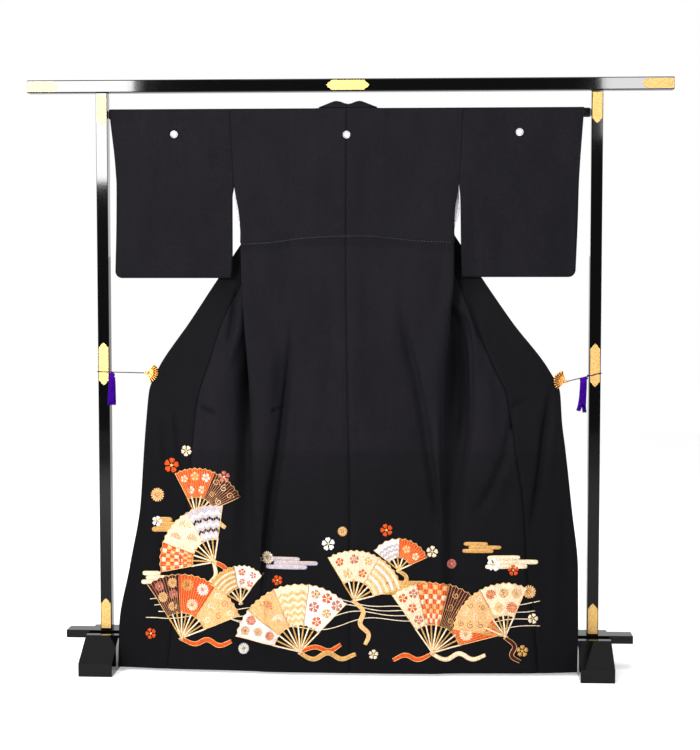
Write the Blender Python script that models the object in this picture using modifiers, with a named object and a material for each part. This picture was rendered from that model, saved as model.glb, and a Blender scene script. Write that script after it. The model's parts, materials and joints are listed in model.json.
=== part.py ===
# A formal black kimono spread on a lacquered stand, seen from its back, which faces -Y.
# Metres, +Z up. The floor is z = 0, the posts stand in the plane y = 0 and x = 0 lies midway between them.
import math

import bmesh
import bpy
import numpy as np
from mathutils import Matrix, Vector

# Sizes shared by every cloth piece
WALL = 0.002
SEAM = 0.0003
GAP = 0.0003
TANGENT_REACH = 2.5

# Stand
POST_X = 0.707
POST_WIDTH = 0.033
POST_DEPTH = 0.035
TOP_BAR = {"half_length": 0.9226, "bottom": 1.6577, "top": 1.6942, "depth": 0.034}
BOTTOM_RAIL = {"half_length": 0.822, "bottom": 0.078, "top": 0.101, "depth": 0.058}
FOOT = {"width": 0.096, "half_depth": 0.176, "end_height": 0.037, "top": 0.096, "flat_half": 0.0716}
ROD = {"bottom": 1.583, "top": 1.6098, "depth": 0.0118, "edge": 0.0055}
EDGE_ROUND = 0.0015

# Gilt plates: name, middle x, middle z, width, length, upright, pointed ends (first is left or lower)
PLATE_THICKNESS = 0.001
PLATES = (
    ("plate_bar_left", -0.8760, 1.6752, 0.0275, 0.090, False, (False, True)),
    ("plate_bar_middle", 0.0010, 1.6758, 0.0275, 0.123, False, (True, True)),
    ("plate_bar_right", 0.8760, 1.6758, 0.0275, 0.090, False, (True, False)),
    ("plate_post_left_top", -POST_X, 1.6080, 0.0275, 0.088, True, (True, False)),
    ("plate_post_left_middle", -POST_X, 0.8790, 0.0275, 0.124, True, (True, True)),
    ("plate_post_left_low", -POST_X, 0.1492, 0.0275, 0.088, True, (False, True)),
    ("plate_post_right_top", POST_X, 1.6080, 0.0275, 0.088, True, (True, False)),
    ("plate_post_right_middle", POST_X, 0.8790, 0.0275, 0.124, True, (True, True)),
    ("plate_post_right_low", POST_X, 0.1485, 0.0275, 0.088, True, (False, True)),
)
# Half outline of a pointed end, across and along, in plate widths
POINTED_END = (
    (0.50, 0.00), (0.475, 0.055), (0.42, 0.10), (0.33, 0.135), (0.305, 0.21), (0.27, 0.30), (0.20, 0.38),
    (0.10, 0.44), (0.0, 0.55),
)

# How the cloth hangs, a row for each height. Each column is the distance from the middle plane of one line:
# the front edge, the overlap seam, the outward turn and the deepest line of the fold behind the side seam,
# the side edges of front and back, and the ridge and the trough down the back.
LINES = ("height", "edge", "overlap", "turn", "fold", "front_side", "back_side", "ridge", "trough")
LEFT_LINES = (
    (1.604, 0.0870, 0.0870, 0.093, 0.100, 0.3370, 0.3370, 0.300, 0.150),
    (1.500, 0.1306, 0.1306, 0.118, 0.110, 0.3320, 0.3320, 0.297, 0.150),
    (1.390, 0.2030, 0.2030, 0.170, 0.145, 0.3268, 0.3262, 0.292, 0.150),
    (1.320, 0.2490, 0.2300, 0.190, 0.154, 0.3205, 0.3135, 0.283, 0.150),
    (1.265, 0.2850, 0.2510, 0.205, 0.158, 0.3080, 0.3080, 0.275, 0.150),
    (1.120, 0.3810, 0.3065, 0.245, 0.184, 0.3040, 0.3040, 0.265, 0.150),
    (1.000, 0.4580, 0.3625, 0.308, 0.235, 0.2955, 0.2955, 0.255, 0.151),
    (0.865, 0.5490, 0.4050, 0.326, 0.266, 0.2820, 0.2820, 0.245, 0.178),
    (0.800, 0.5747, 0.4260, 0.328, 0.272, 0.2765, 0.2765, 0.240, 0.190),
    (0.720, 0.5815, 0.4385, 0.326, 0.277, 0.2715, 0.2715, 0.238, 0.199),
    (0.640, 0.5865, 0.4450, 0.322, 0.284, 0.2670, 0.2670, 0.239, 0.205),
    (0.470, 0.5965, 0.4590, 0.325, 0.283, 0.2590, 0.2590, 0.244, 0.228),
    (0.300, 0.6250, 0.4780, 0.330, 0.274, 0.2494, 0.2494, 0.240, 0.229),
    (0.130, 0.6540, 0.4985, 0.330, 0.272, 0.2486, 0.2486, 0.235, 0.215),
    (0.012, 0.6560, 0.5115, 0.330, 0.272, 0.2484, 0.2484, 0.232, 0.200),
)
RIGHT_LINES = (
    (1.604, 0.0840, 0.0840, 0.091, 0.098, 0.3285, 0.3285, 0.292, 0.150),
    (1.500, 0.1323, 0.1323, 0.120, 0.111, 0.3235, 0.3235, 0.290, 0.150),
    (1.390, 0.2090, 0.2090, 0.175, 0.145, 0.3178, 0.3175, 0.286, 0.150),
    (1.320, 0.2580, 0.2390, 0.195, 0.159, 0.3200, 0.3070, 0.277, 0.150),
    (1.265, 0.2967, 0.2627, 0.213, 0.162, 0.3050, 0.3050, 0.272, 0.150),
    (1.120, 0.3905, 0.3160, 0.256, 0.190, 0.3045, 0.3045, 0.268, 0.150),
    (1.000, 0.4732, 0.3655, 0.330, 0.232, 0.2890, 0.2890, 0.255, 0.160),
    (0.865, 0.5767, 0.4225, 0.346, 0.262, 0.2770, 0.2770, 0.245, 0.190),
    (0.800, 0.6085, 0.4548, 0.347, 0.268, 0.2743, 0.2743, 0.245, 0.203),
    (0.720, 0.6133, 0.4690, 0.345, 0.278, 0.2715, 0.2715, 0.249, 0.217),
    (0.640, 0.6230, 0.4805, 0.345, 0.287, 0.2706, 0.2706, 0.254, 0.229),
    (0.470, 0.6415, 0.5055, 0.345, 0.296, 0.2735, 0.2735, 0.264, 0.252),
    (0.300, 0.6585, 0.5145, 0.350, 0.298, 0.2784, 0.2784, 0.266, 0.250),
    (0.130, 0.6590, 0.5370, 0.352, 0.300, 0.2790, 0.2790, 0.262, 0.240),
    (0.012, 0.6560, 0.5474, 0.352, 0.302, 0.2793, 0.2793, 0.260, 0.230),
)
# The same lines' depth, less than 0 toward the viewer, alike on both sides
DEPTHS = ("height", "centre", "trough", "ridge", "back_side", "front_side", "fold", "turn", "overlap", "edge")
DEPTH_LINES = (
    (1.604, -0.0075, -0.0075, -0.0075, -0.0075, 0.0075, 0.0075, 0.0075, 0.0075, 0.0075),
    (1.580, -0.0078, -0.0078, -0.0077, -0.0075, 0.0075, 0.0076, 0.0080, 0.0082, 0.0082),
    (1.500, -0.0095, -0.0095, -0.0090, -0.0075, 0.0075, 0.0115, 0.0185, 0.0215, 0.0215),
    (1.390, -0.0125, -0.0125, -0.0110, -0.0075, 0.0075, 0.0170, 0.0275, 0.0290, 0.0290),
    (1.320, -0.0155, -0.0155, -0.0145, -0.0120, 0.0020, 0.0200, 0.0310, 0.0305, 0.0290),
    (1.265, -0.0180, -0.0180, -0.0185, -0.0165, -0.0165, 0.0225, 0.0340, 0.0300, 0.0270),
    (1.120, -0.0255, -0.0250, -0.0300, -0.0260, -0.0260, 0.0340, 0.0420, 0.0270, 0.0170),
    (1.000, -0.0340, -0.0310, -0.0440, -0.0370, -0.0370, 0.0440, -0.0040, -0.0040, -0.0040),
    (0.865, -0.0455, -0.0385, -0.0580, -0.0470, -0.0470, 0.0400, -0.0350, -0.0270, -0.0130),
    (0.800, -0.0515, -0.0430, -0.0650, -0.0530, -0.0530, 0.0260, -0.0440, -0.0370, -0.0210),
    (0.720, -0.0590, -0.0505, -0.0740, -0.0620, -0.0620, 0.0000, -0.0540, -0.0480, -0.0310),
    (0.640, -0.0670, -0.0580, -0.0820, -0.0720, -0.0720, -0.0250, -0.0640, -0.0570, -0.0410),
    (0.470, -0.0870, -0.0790, -0.0980, -0.0920, -0.0920, -0.0660, -0.0840, -0.0730, -0.0580),
    (0.300, -0.1080, -0.1020, -0.1130, -0.1090, -0.1090, -0.0960, -0.1010, -0.0890, -0.0740),
    (0.130, -0.1310, -0.1270, -0.1310, -0.1270, -0.1270, -0.1210, -0.1200, -0.1070, -0.0910),
    (0.012, -0.1440, -0.1420, -0.1400, -0.1360, -0.1360, -0.1330, -0.1290, -0.1180, -0.1000),
)
# Where the seam down the middle of the back runs: height, x
CENTRE_SEAM = ((1.604, -0.002), (1.250, -0.004), (0.780, 0.0034), (0.525, 0.0105), (0.012, 0.0139))

# Heights of the cloth's rows and stations of its columns along a section
BODY_ROWS = (
    1.604, 1.580, 1.545, 1.500, 1.450, 1.395, 1.355, 1.320, 1.290, 1.265, 1.245, 1.2265, 1.2255, 1.190,
    1.120, 1.060, 1.000, 0.935, 0.865, 0.800, 0.720, 0.640, 0.550, 0.470, 0.380, 0.300, 0.160, 0.012,
)
BACK_STATIONS = (0, 0.33, 0.67, 1, 1.5, 2, 2.4, 2.75, 3)
FRONT_STATIONS = (3, 3.12, 3.4, 3.7, 4, 4.2, 4.55, 5, 5.5, 6)
OVERLAP_STATIONS = (6, 6.33, 6.67, 7)
OVERLAP_TOP = 1.372
OVERLAP_TIP = 1.390
SIDE_SEAM_TOP = 1.265
SHOULDER = 1.604
SHOULDER_ROUND = 0.0075
SHOULDER_STEPS = (30, 60, 90)
NECK_HALF = 0.087
NECK_RISE = 0.0082

# The tuck across the back: the height at the side, the rise to the middle, the step and its fade
TUCK = {"height": 1.2265, "rise": 0.0205, "half_width": 0.31, "step": 0.0013, "fade": 0.030, "reach": 0.085}

# Sleeves: height and distance of the inner edge below the armhole, and of the outer edge
ARMHOLE_END = 1.395
CUFF_END = 1.394
SLEEVE_BOTTOM = {-1: 1.1275, 1: 1.1305}
SLEEVE_INNER = {
    -1: ((1.360, 0.3325), (1.190, 0.3330), (1.127, 0.3361)),
    1: ((1.360, 0.3215), (1.225, 0.3242), (1.127, 0.3275)),
}
SLEEVE_OUTER = {
    -1: ((1.612, 0.6870), (1.394, 0.6680), (1.300, 0.6690), (1.127, 0.6740)),
    1: ((1.612, 0.6710), (1.394, 0.6580), (1.300, 0.6560), (1.127, 0.6500)),
}
SLEEVE_ROWS = (0, 0.30, 0.65, 0.87, 1)
SLEEVE_UPPER_ROWS = (1.405, 1.450, 1.500, 1.604)
SLEEVE_COLUMNS = (0, 0.3, 0.65)
SLEEVE_CORNER = 0.020
SLEEVE_CORNER_STEPS = (1, 0.62, 0.34, 0.15, 0.04, 0)
CUFF_OPENING = {1.405: 0.7}

# Collar: the band's thickness and its width down the front, and its path round the neck.
# Each row is a cross-section from the middle of the back: root, ridge and free edge as x, y, z.
COLLAR_THICKNESS = 0.003
COLLAR_WIDTH = 0.050
COLLAR_SEAM = 1.290
COLLAR_END = 0.842
COLLAR_LIFT = (0.0005, 0.0014, 0.0022, 0.0022, 0.0020)
NECK_SECTIONS = (
    ((0.034, -0.0066, 1.6136), (0.033, 0.0025, 1.6315), (0.029, 0.0215, 1.6060)),
    ((0.062, -0.0060, 1.6138), (0.055, 0.0045, 1.6245), (0.044, 0.0225, 1.6000)),
    ((0.078, -0.0020, 1.6152), (0.067, 0.0085, 1.6180), (0.049, 0.0235, 1.5940)),
    ((0.0840, 0.0085, 1.6142), (0.070, 0.0150, 1.6040), (0.049, 0.0240, 1.5850)),
    ((0.0880, 0.0130, 1.5900), (0.070, 0.0175, 1.5800), (0.047, 0.0230, 1.5680)),
)
NECK_MIDDLE = ((0.001, -0.0066, 1.6136), (0.002, 0.0010, 1.6225), (0.001, 0.0185, 1.6020))
COLLAR_ROWS_UPPER = (1.545, 1.500, 1.450, 1.395, 1.355, 1.320)
COLLAR_ROWS_LOWER = (1.245, 1.190, 1.120, 1.060, 1.000, 0.935, 0.865)

# Pale lining seen in the gap under each arm
LINING_THICKNESS = 0.001
LINING_ROWS = (1.395, 1.355, 1.320, 1.290)
LINING_STATIONS = (3, 3.12)

# Fan clips: pivot x and z, radius, first and last rib angle in the cloth's plane, measured up from inward
CLIP = {
    -1: {"pivot": (0.5787, 0.8527), "angles": (-66, 52), "clearance": 0.0008},
    1: {"pivot": (0.6239, 0.8321), "angles": (-46, 78), "clearance": 0.0004},
}
CLIP_RADIUS = 0.031
CLIP_FOLDS = 8
CLIP_WAVE = 0.0006
CLIP_SHEET = 0.0008
CLIP_SLACK = 0.0009
CLIP_RINGS = (1.0, 0.62, 0.28)
CLIP_PIN = {"radius": 0.0042, "inner": 0.0036}

# Cords: from the clip across the front of the post, round it and back to the tassel's head.
# Heights are given where the cord leaves the clip, at the post's outer front edge, behind it and at the tassel.
CORD_DIAMETER = 0.0020
CORD_SPACING = 0.0042
CORD_CLEARANCE = 0.0010
CORDS = (
    ("cord_left", -1, (-0.5846, -0.0128), (-0.6812, -0.0262), (0.8530, 0.8567, 0.8536, 0.8552)),
    ("cord_right", 1, (0.6298, -0.0122), (0.6745, -0.0262), (0.8328, 0.8566, 0.8490, 0.8440)),
)

# Tassels: middle x and y, top, bottom, half width and half depth of the bundle, lean and split at the tips
TASSELS = (
    ("tassel_left", -0.6812, -0.0262, 0.8546, 0.7600, 0.0125, 0.0075, 0.000, 0.000),
    ("tassel_right", 0.6745, -0.0262, 0.8434, 0.7440, 0.0125, 0.0075, -0.006, 0.004),
)
TASSEL_CELLS = 5
TASSEL_HEAD = ((0.0, 1.00), (0.004, 1.02), (0.010, 0.74), (0.014, 0.42), (0.0175, 0.34))
TASSEL_HEAD_HEIGHT = 0.0175
TASSEL_STEPS = 3

# Colours are linear RGB, roughness, metallic
MATERIALS = {
    "black_crepe": ((0.0126, 0.0122, 0.0150), 0.85, 0.0),
    "pale_lining": ((0.62, 0.57, 0.68), 0.80, 0.0),
    "black_lacquer": ((0.0045, 0.0045, 0.0050), 0.12, 0.0),
    "gilt_brass": ((0.86, 0.56, 0.18), 0.32, 1.0),
    "purple_silk": ((0.065, 0.006, 0.29), 0.60, 0.0),
    "cord_silk": ((0.10, 0.035, 0.12), 0.65, 0.0),
}


def clear_scene():
    for thing in list(bpy.data.objects):
        bpy.data.objects.remove(thing, do_unlink=True)


def make_material(name):
    colour, roughness, metallic = MATERIALS[name]
    material = bpy.data.materials.get(name)
    if material:
        return material
    material = bpy.data.materials.new(name)
    material.use_nodes = True
    shader = material.node_tree.nodes["Principled BSDF"]
    shader.inputs["Base Color"].default_value = (*colour, 1)
    shader.inputs["Roughness"].default_value = roughness
    shader.inputs["Metallic"].default_value = metallic
    return material


def make_collection(name):
    collection = bpy.data.collections.new(name)
    bpy.context.scene.collection.children.link(collection)
    return collection


def add_object(name, data, material, collection):
    thing = bpy.data.objects.new(name, data)
    if data.materials:
        data.materials.clear()
    data.materials.append(make_material(material))
    collection.objects.link(thing)
    return thing


def mesh_from(name, bm):
    bmesh.ops.recalc_face_normals(bm, faces=bm.faces)
    mesh = bpy.data.meshes.new(name)
    bm.to_mesh(mesh)
    bm.free()
    return mesh


# Smooth values between the rows of a table, with no overshoot


def between_rows(table, column, height):
    heights = np.array([row[0] for row in table])[::-1]
    values = np.array([row[column] for row in table])[::-1]
    height = min(max(height, heights[0]), heights[-1])
    steps = np.diff(heights)
    slopes = np.diff(values) / steps
    tangents = np.zeros(len(heights))
    for i in range(1, len(heights) - 1):
        if slopes[i - 1] * slopes[i] > 0:
            before, after = 2 * steps[i] + steps[i - 1], steps[i] + 2 * steps[i - 1]
            tangents[i] = (before + after) / (before / slopes[i - 1] + after / slopes[i])
    tangents[0], tangents[-1] = slopes[0], slopes[-1]
    k = min(int(np.searchsorted(heights, height, side="right")) - 1, len(steps) - 1)
    u = (height - heights[k]) / steps[k]
    return (
        (2 * u**3 - 3 * u**2 + 1) * values[k]
        + (u**3 - 2 * u**2 + u) * steps[k] * tangents[k]
        + (3 * u**2 - 2 * u**3) * values[k + 1]
        + (u**3 - u**2) * steps[k] * tangents[k + 1]
    )


def smoothstep(value):
    value = min(max(value, 0.0), 1.0)
    return value * value * (3 - 2 * value)


# Point at parameter t on the smooth curve through points, whose first and last only steer it


def on_curve(points, t):
    points = np.array(points, float)
    chords = np.maximum(np.linalg.norm(np.diff(points, axis=0), axis=1), 1e-6)
    steps = np.sqrt(chords)
    slopes = np.diff(points, axis=0) / steps[:, None]
    k = min(max(int(math.floor(t)), 0), len(points) - 4) + 1
    u = t - (k - 1)

    def tangent(i):
        way = slopes[i - 1] * steps[i] + slopes[i] * steps[i - 1]
        reach = min(chords[k], TANGENT_REACH * min(chords[i - 1], chords[i]))
        return way / np.linalg.norm(way) * reach

    return (
        (2 * u**3 - 3 * u**2 + 1) * points[k]
        + (u**3 - 2 * u**2 + u) * tangent(k)
        + (3 * u**2 - 2 * u**3) * points[k + 1]
        + (u**3 - u**2) * tangent(k + 1)
    )


# Plan view of one side's section at a height, as named points


def section(side, height):
    table = LEFT_LINES if side < 0 else RIGHT_LINES
    places = {}
    for name in LINES[1:]:
        x = between_rows(table, LINES.index(name), height) * side
        places[name] = np.array((x, between_rows(DEPTH_LINES, DEPTHS.index(name), height)))
    x = between_rows(CENTRE_SEAM, 1, height)
    places["centre"] = np.array((x, between_rows(DEPTH_LINES, DEPTHS.index("centre"), height)))
    if height <= SIDE_SEAM_TOP:
        places["front_side"] = places["back_side"]
    if height >= OVERLAP_TIP:
        places["overlap"] = places["edge"]
    return places


# How far the front's side edge has parted from the back's, from 0 at the side seam to 1 at the armhole


def parted(places):
    distance = places["front_side"][1] - places["back_side"][1]
    return smoothstep((distance - 0.0008) / 0.0028)


# Stations along a section: 0 centre, 1 trough, 2 ridge, 3 side seam, 4 fold, 5 turn, 6 overlap seam, 7 edge


def cloth_plan(side, height, station, back):
    here, other = section(side, height), section(-side, height)
    free = parted(here)
    if back:
        outward = 2 * here["back_side"] - here["ridge"]
        tail = here["fold"] * (1 - free) + outward * free
        points = [other["trough"], here["centre"], here["trough"], here["ridge"], here["back_side"], tail]
        return on_curve(points, station)
    away = 1.3 * here["front_side"] - 0.3 * here["fold"]
    head = here["ridge"] * (1 - free) + away * free
    points = [head, here["front_side"], here["fold"], here["turn"], here["overlap"]]
    if np.linalg.norm(here["edge"] - here["overlap"]) > 0.002:
        points += [here["edge"], 1.3 * here["edge"] - 0.3 * here["overlap"]]
    else:
        points += [1.3 * here["overlap"] - 0.3 * here["turn"]]
    return on_curve(points, min(station - 3, len(points) - 3))


def cloth_point(side, height, station, back):
    x, y = cloth_plan(side, height, station, back)
    return np.array((x, y, height))


def cloth_normal(side, height, station, back):
    first, last = (0, 3) if back else (3, 6 if height >= OVERLAP_TIP else 7)
    low, high = max(station - 0.02, first), min(station + 0.02, last)
    along = cloth_point(side, height, high, back) - cloth_point(side, height, low, back)
    top, bottom = min(height + 0.004, SHOULDER), max(height - 0.004, BODY_ROWS[-1])
    down = cloth_point(side, bottom, station, back) - cloth_point(side, top, station, back)
    normal = np.cross(along, down) * -side
    return normal / np.linalg.norm(normal), along / np.linalg.norm(along)


def tuck_lift(x, height):
    across = max(0.0, 1 - (x / TUCK["half_width"]) ** 2)
    near = smoothstep(1 - abs(height - TUCK["height"]) / TUCK["reach"])
    return TUCK["rise"] * across * near


def tuck_step(height):
    above = height - TUCK["height"] + 1e-6
    if above < 0 or above > TUCK["fade"]:
        return 0.0
    return TUCK["step"] * (1 - above / TUCK["fade"])


# A closed wall from a grid of middle points and their normals, rows by columns


def wall_mesh(name, points, normals, thickness):
    bm = bmesh.new()
    skins = []
    for sign in (1, -1):
        skins.append([
            [bm.verts.new(p + n * (sign * thickness / 2)) for p, n in zip(row, normal_row)]
            for row, normal_row in zip(points, normals)
        ])
    rows, columns = len(points), len(points[0])
    for skin in skins:
        for i in range(rows - 1):
            for j in range(columns - 1):
                bm.faces.new((skin[i][j], skin[i][j + 1], skin[i + 1][j + 1]))
                bm.faces.new((skin[i][j], skin[i + 1][j + 1], skin[i + 1][j]))
    front, rear = skins
    rims = [((i, j), (i + 1, j)) for i in range(rows - 1) for j in (0, columns - 1)]
    rims += [((i, j), (i, j + 1)) for j in range(columns - 1) for i in (0, rows - 1)]
    for (a, b), (c, d) in rims:
        bm.faces.new((front[a][b], front[c][d], rear[c][d]))
        bm.faces.new((front[a][b], rear[c][d], rear[a][b]))
    return mesh_from(name, bm)


# Rows over the rod: the angle up from the side of the rod, for the back (-1) and the front (1)


def shoulder_row(points, normals, facing, degrees):
    angle = math.radians(degrees)
    new_points, new_normals = [], []
    for point, normal in zip(points, normals):
        reach = SHOULDER_ROUND * math.cos(angle)
        if degrees == 90:
            reach = SEAM / 2
        over = np.array((point[0], facing * reach, SHOULDER + SHOULDER_ROUND * math.sin(angle)))
        over_normal = np.array((0, facing * math.cos(angle), math.sin(angle))) * np.sign(normal[1] * facing)
        neck = smoothstep((NECK_HALF + 0.012 - abs(point[0])) / 0.030) if facing < 0 else 0.0
        standing = np.array((point[0], -0.0075 + 0.0009 * degrees / 90, SHOULDER + NECK_RISE * degrees / 90))
        spot = over * (1 - neck) + standing * neck
        mixed = over_normal * (1 - neck) + normal * neck
        new_points.append(spot)
        new_normals.append(mixed / np.linalg.norm(mixed))
    return new_points, new_normals


def panel_grid(side, heights, stations, back, first_seam, last_seam):
    points, normals = [], []
    for height in heights:
        row, normal_row = [], []
        for j, station in enumerate(stations):
            normal, along = cloth_normal(side, height, station, back)
            point = cloth_point(side, height, station, back)
            if j == 0 and first_seam:
                point = point + along * SEAM / 2
            if j == len(stations) - 1 and last_seam:
                point = point - along * SEAM / 2
            if back:
                point = point + normal * tuck_step(height) + np.array((0, 0, tuck_lift(point[0], height)))
            row.append(point)
            normal_row.append(normal)
        points.append(row)
        normals.append(normal_row)
    return points, normals


def add_shoulder(points, normals, facing):
    top_points, top_normals = points[0], normals[0]
    for degrees in SHOULDER_STEPS:
        row, normal_row = shoulder_row(top_points, top_normals, facing, degrees)
        points.insert(0, row)
        normals.insert(0, normal_row)


def build_body(side, name, collection):
    points, normals = panel_grid(side, BODY_ROWS, BACK_STATIONS, True, True, True)
    add_shoulder(points, normals, -1)
    mesh = wall_mesh(f"back_{name}", points, normals, WALL)
    add_object(f"back_{name}", mesh, "black_crepe", collection)
    points, normals = panel_grid(side, BODY_ROWS, FRONT_STATIONS, False, True, True)
    add_shoulder(points, normals, 1)
    mesh = wall_mesh(f"front_{name}", points, normals, WALL)
    add_object(f"front_{name}", mesh, "black_crepe", collection)
    rows = [OVERLAP_TOP] + [h for h in BODY_ROWS if h < OVERLAP_TOP]
    points, normals = panel_grid(side, rows, OVERLAP_STATIONS, False, True, False)
    mesh = wall_mesh(f"okumi_{name}", points, normals, WALL)
    add_object(f"okumi_{name}", mesh, "black_crepe", collection)


# Sleeve: a bag folded over the rod, open at the wrist and at the body below the armhole


def sleeve_inner(side, height):
    if height >= ARMHOLE_END:
        places = section(side, min(height, SHOULDER))
        return max(abs(places["front_side"][0]), abs(places["back_side"][0])) + SEAM
    top = abs(section(side, ARMHOLE_END)["front_side"][0]) + SEAM
    return between_rows(((ARMHOLE_END, top),) + SLEEVE_INNER[side], 1, height)


def sleeve_columns(side, height, corner):
    inner, outer = sleeve_inner(side, height), between_rows(SLEEVE_OUTER[side], 1, height)
    straight = outer - corner
    places = [inner + (straight - inner) * f for f in SLEEVE_COLUMNS]
    return [x * side for x in places + [outer - corner * f for f in SLEEVE_CORNER_STEPS]]


def build_sleeve(side, name, collection):
    bottom = SLEEVE_BOTTOM[side]
    half = SHOULDER_ROUND
    bm = bmesh.new()
    count = len(SLEEVE_COLUMNS) + len(SLEEVE_CORNER_STEPS)
    loops = []
    for j in range(count):
        step = SLEEVE_CORNER_STEPS[j - len(SLEEVE_COLUMNS)] if j >= len(SLEEVE_COLUMNS) else 1
        out = SLEEVE_CORNER * (1 - step)
        low = bottom + SLEEVE_CORNER - math.sqrt(max(SLEEVE_CORNER**2 - out**2, 0))
        near_edge = max(0.0, (half - SLEEVE_CORNER * step) / half)
        close = math.sqrt(max(1 - near_edge**2, 0))
        if step == 0:
            close = 0.0
        side_rows = []
        for degrees in (30, 60):
            angle = math.radians(degrees)
            side_rows.append((half * close * math.sin(angle), low + half * close * (1 - math.cos(angle))))
        first = low + half * close
        for share in SLEEVE_ROWS:
            height = first + (CUFF_END - 0.006 - first) * share
            side_rows.append((half * close, height))
        for height in SLEEVE_UPPER_ROWS:
            side_rows.append((half * max(close, CUFF_OPENING.get(height, 1)), height))
        for degrees in (30, 60):
            angle = math.radians(degrees)
            side_rows.append((half * math.cos(angle), SHOULDER + half * math.sin(angle)))
        profile = [(0.0, low)] + [(-y, z) for y, z in side_rows] + [(0.0, SHOULDER + half)]
        profile += [(y, z) for y, z in reversed(side_rows)]
        loop = [bm.verts.new((sleeve_columns(side, z, SLEEVE_CORNER)[j], y, z)) for y, z in profile]
        loops.append(loop)
    for one, two in zip(loops, loops[1:]):
        for i in range(len(one)):
            k = (i + 1) % len(one)
            bm.faces.new((one[i], one[k], two[k], two[i]))
    bmesh.ops.remove_doubles(bm, verts=bm.verts, dist=0.0001)
    mesh = mesh_from(f"sleeve_{name}", bm)
    sleeve = add_object(f"sleeve_{name}", mesh, "black_crepe", collection)
    shell = sleeve.modifiers.new("wall", "SOLIDIFY")
    shell.thickness = WALL
    shell.offset = 0
    shell.use_even_offset = True


# Collar: a folded band from the back of the neck down behind both front edges


def collar_run(side, height):
    slant = math.cos(math.radians(34))
    stations = np.linspace(4.5, 6 if height >= OVERLAP_TIP else 7, 60)
    layer = np.array([cloth_plan(side, height, t, False) for t in stations])
    out = layer[:, 0] * side
    row = []
    for share, lift in zip((0, 0.25, 0.5, 0.75, 1), COLLAR_LIFT):
        x = out[-1] - COLLAR_WIDTH / slant * share
        normal, _ = cloth_normal(side, height, float(np.interp(x, out, stations)), False)
        reach = (WALL / 2 + GAP + COLLAR_THICKNESS / 2 + lift) / max(abs(normal[1]), 0.75)
        row.append(np.array((x * side, float(np.interp(x, out, layer[:, 1])) + reach, height)))
    return row


def neck_row(three, side):
    ordered = [np.array((side * p[0] if side else p[0], p[1], p[2])) for p in three]
    before = 2 * ordered[0] - ordered[1]
    after = 2 * ordered[2] - ordered[1]
    return [on_curve([before] + ordered + [after], t) for t in (0, 0.5, 1, 1.5, 2)]


def grid_normals(points):
    grid = np.array(points)
    down, along = np.gradient(grid, axis=0), np.gradient(grid, axis=1)
    normals = np.cross(along, down)
    return normals / np.linalg.norm(normals, axis=2)[..., None]


def build_collar(collection):
    rows = []
    for height in (COLLAR_SEAM + SEAM / 2,) + COLLAR_ROWS_UPPER[::-1]:
        rows.append(collar_run(-1, height))
    rows += [neck_row(three, -1) for three in reversed(NECK_SECTIONS)]
    rows.append(neck_row(NECK_MIDDLE, 0))
    rows += [neck_row(three, 1) for three in NECK_SECTIONS]
    for height in COLLAR_ROWS_UPPER + (COLLAR_SEAM + SEAM / 2,):
        rows.append(collar_run(1, height))
    mesh = wall_mesh("collar_neck", rows, grid_normals(rows), COLLAR_THICKNESS)
    add_object("collar_neck", mesh, "black_crepe", collection)
    for side, name in ((-1, "left"), (1, "right")):
        heights = (COLLAR_SEAM - SEAM / 2,) + COLLAR_ROWS_LOWER + (COLLAR_END,)
        rows = [collar_run(side, height) for height in heights]
        mesh = wall_mesh(f"collar_{name}", rows, grid_normals(rows), COLLAR_THICKNESS)
        add_object(f"collar_{name}", mesh, "black_crepe", collection)


def build_lining(side, name, collection):
    points, normals = panel_grid(side, LINING_ROWS, LINING_STATIONS, False, True, False)
    reach = WALL / 2 + GAP + LINING_THICKNESS / 2
    for row, normal_row in zip(points, normals):
        for j, normal in enumerate(normal_row):
            normal_row[j] = normal * (1 if normal[1] < 0 else -1)
            row[j] = row[j] + normal_row[j] * reach
    mesh = wall_mesh(f"lining_{name}", points, normals, LINING_THICKNESS)
    add_object(f"lining_{name}", mesh, "pale_lining", collection)


# Fan clip: one pleated sheet bent round the pivot pin, a leaf on each side of the cloth


def clip_frame(side):
    x, height = CLIP[side]["pivot"]
    edge = cloth_point(side, height, 7, False)
    normal, along = cloth_normal(side, height, 7, False)
    toward_viewer = Vector(normal if normal[1] < 0 else -normal)
    inward = Vector((-along[0], -along[1], 0)).normalized()
    inward = (inward - toward_viewer * inward.dot(toward_viewer)).normalized()
    up = inward.cross(toward_viewer) * side
    if up.z < 0:
        up = -up
    outward = (abs(x) - abs(edge[0])) / abs(inward.x)
    middle = (COLLAR_THICKNESS + GAP + CLIP_SLACK) / 2
    origin = Vector(edge) - inward * outward - toward_viewer * middle
    return origin, inward, up, toward_viewer


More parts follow.
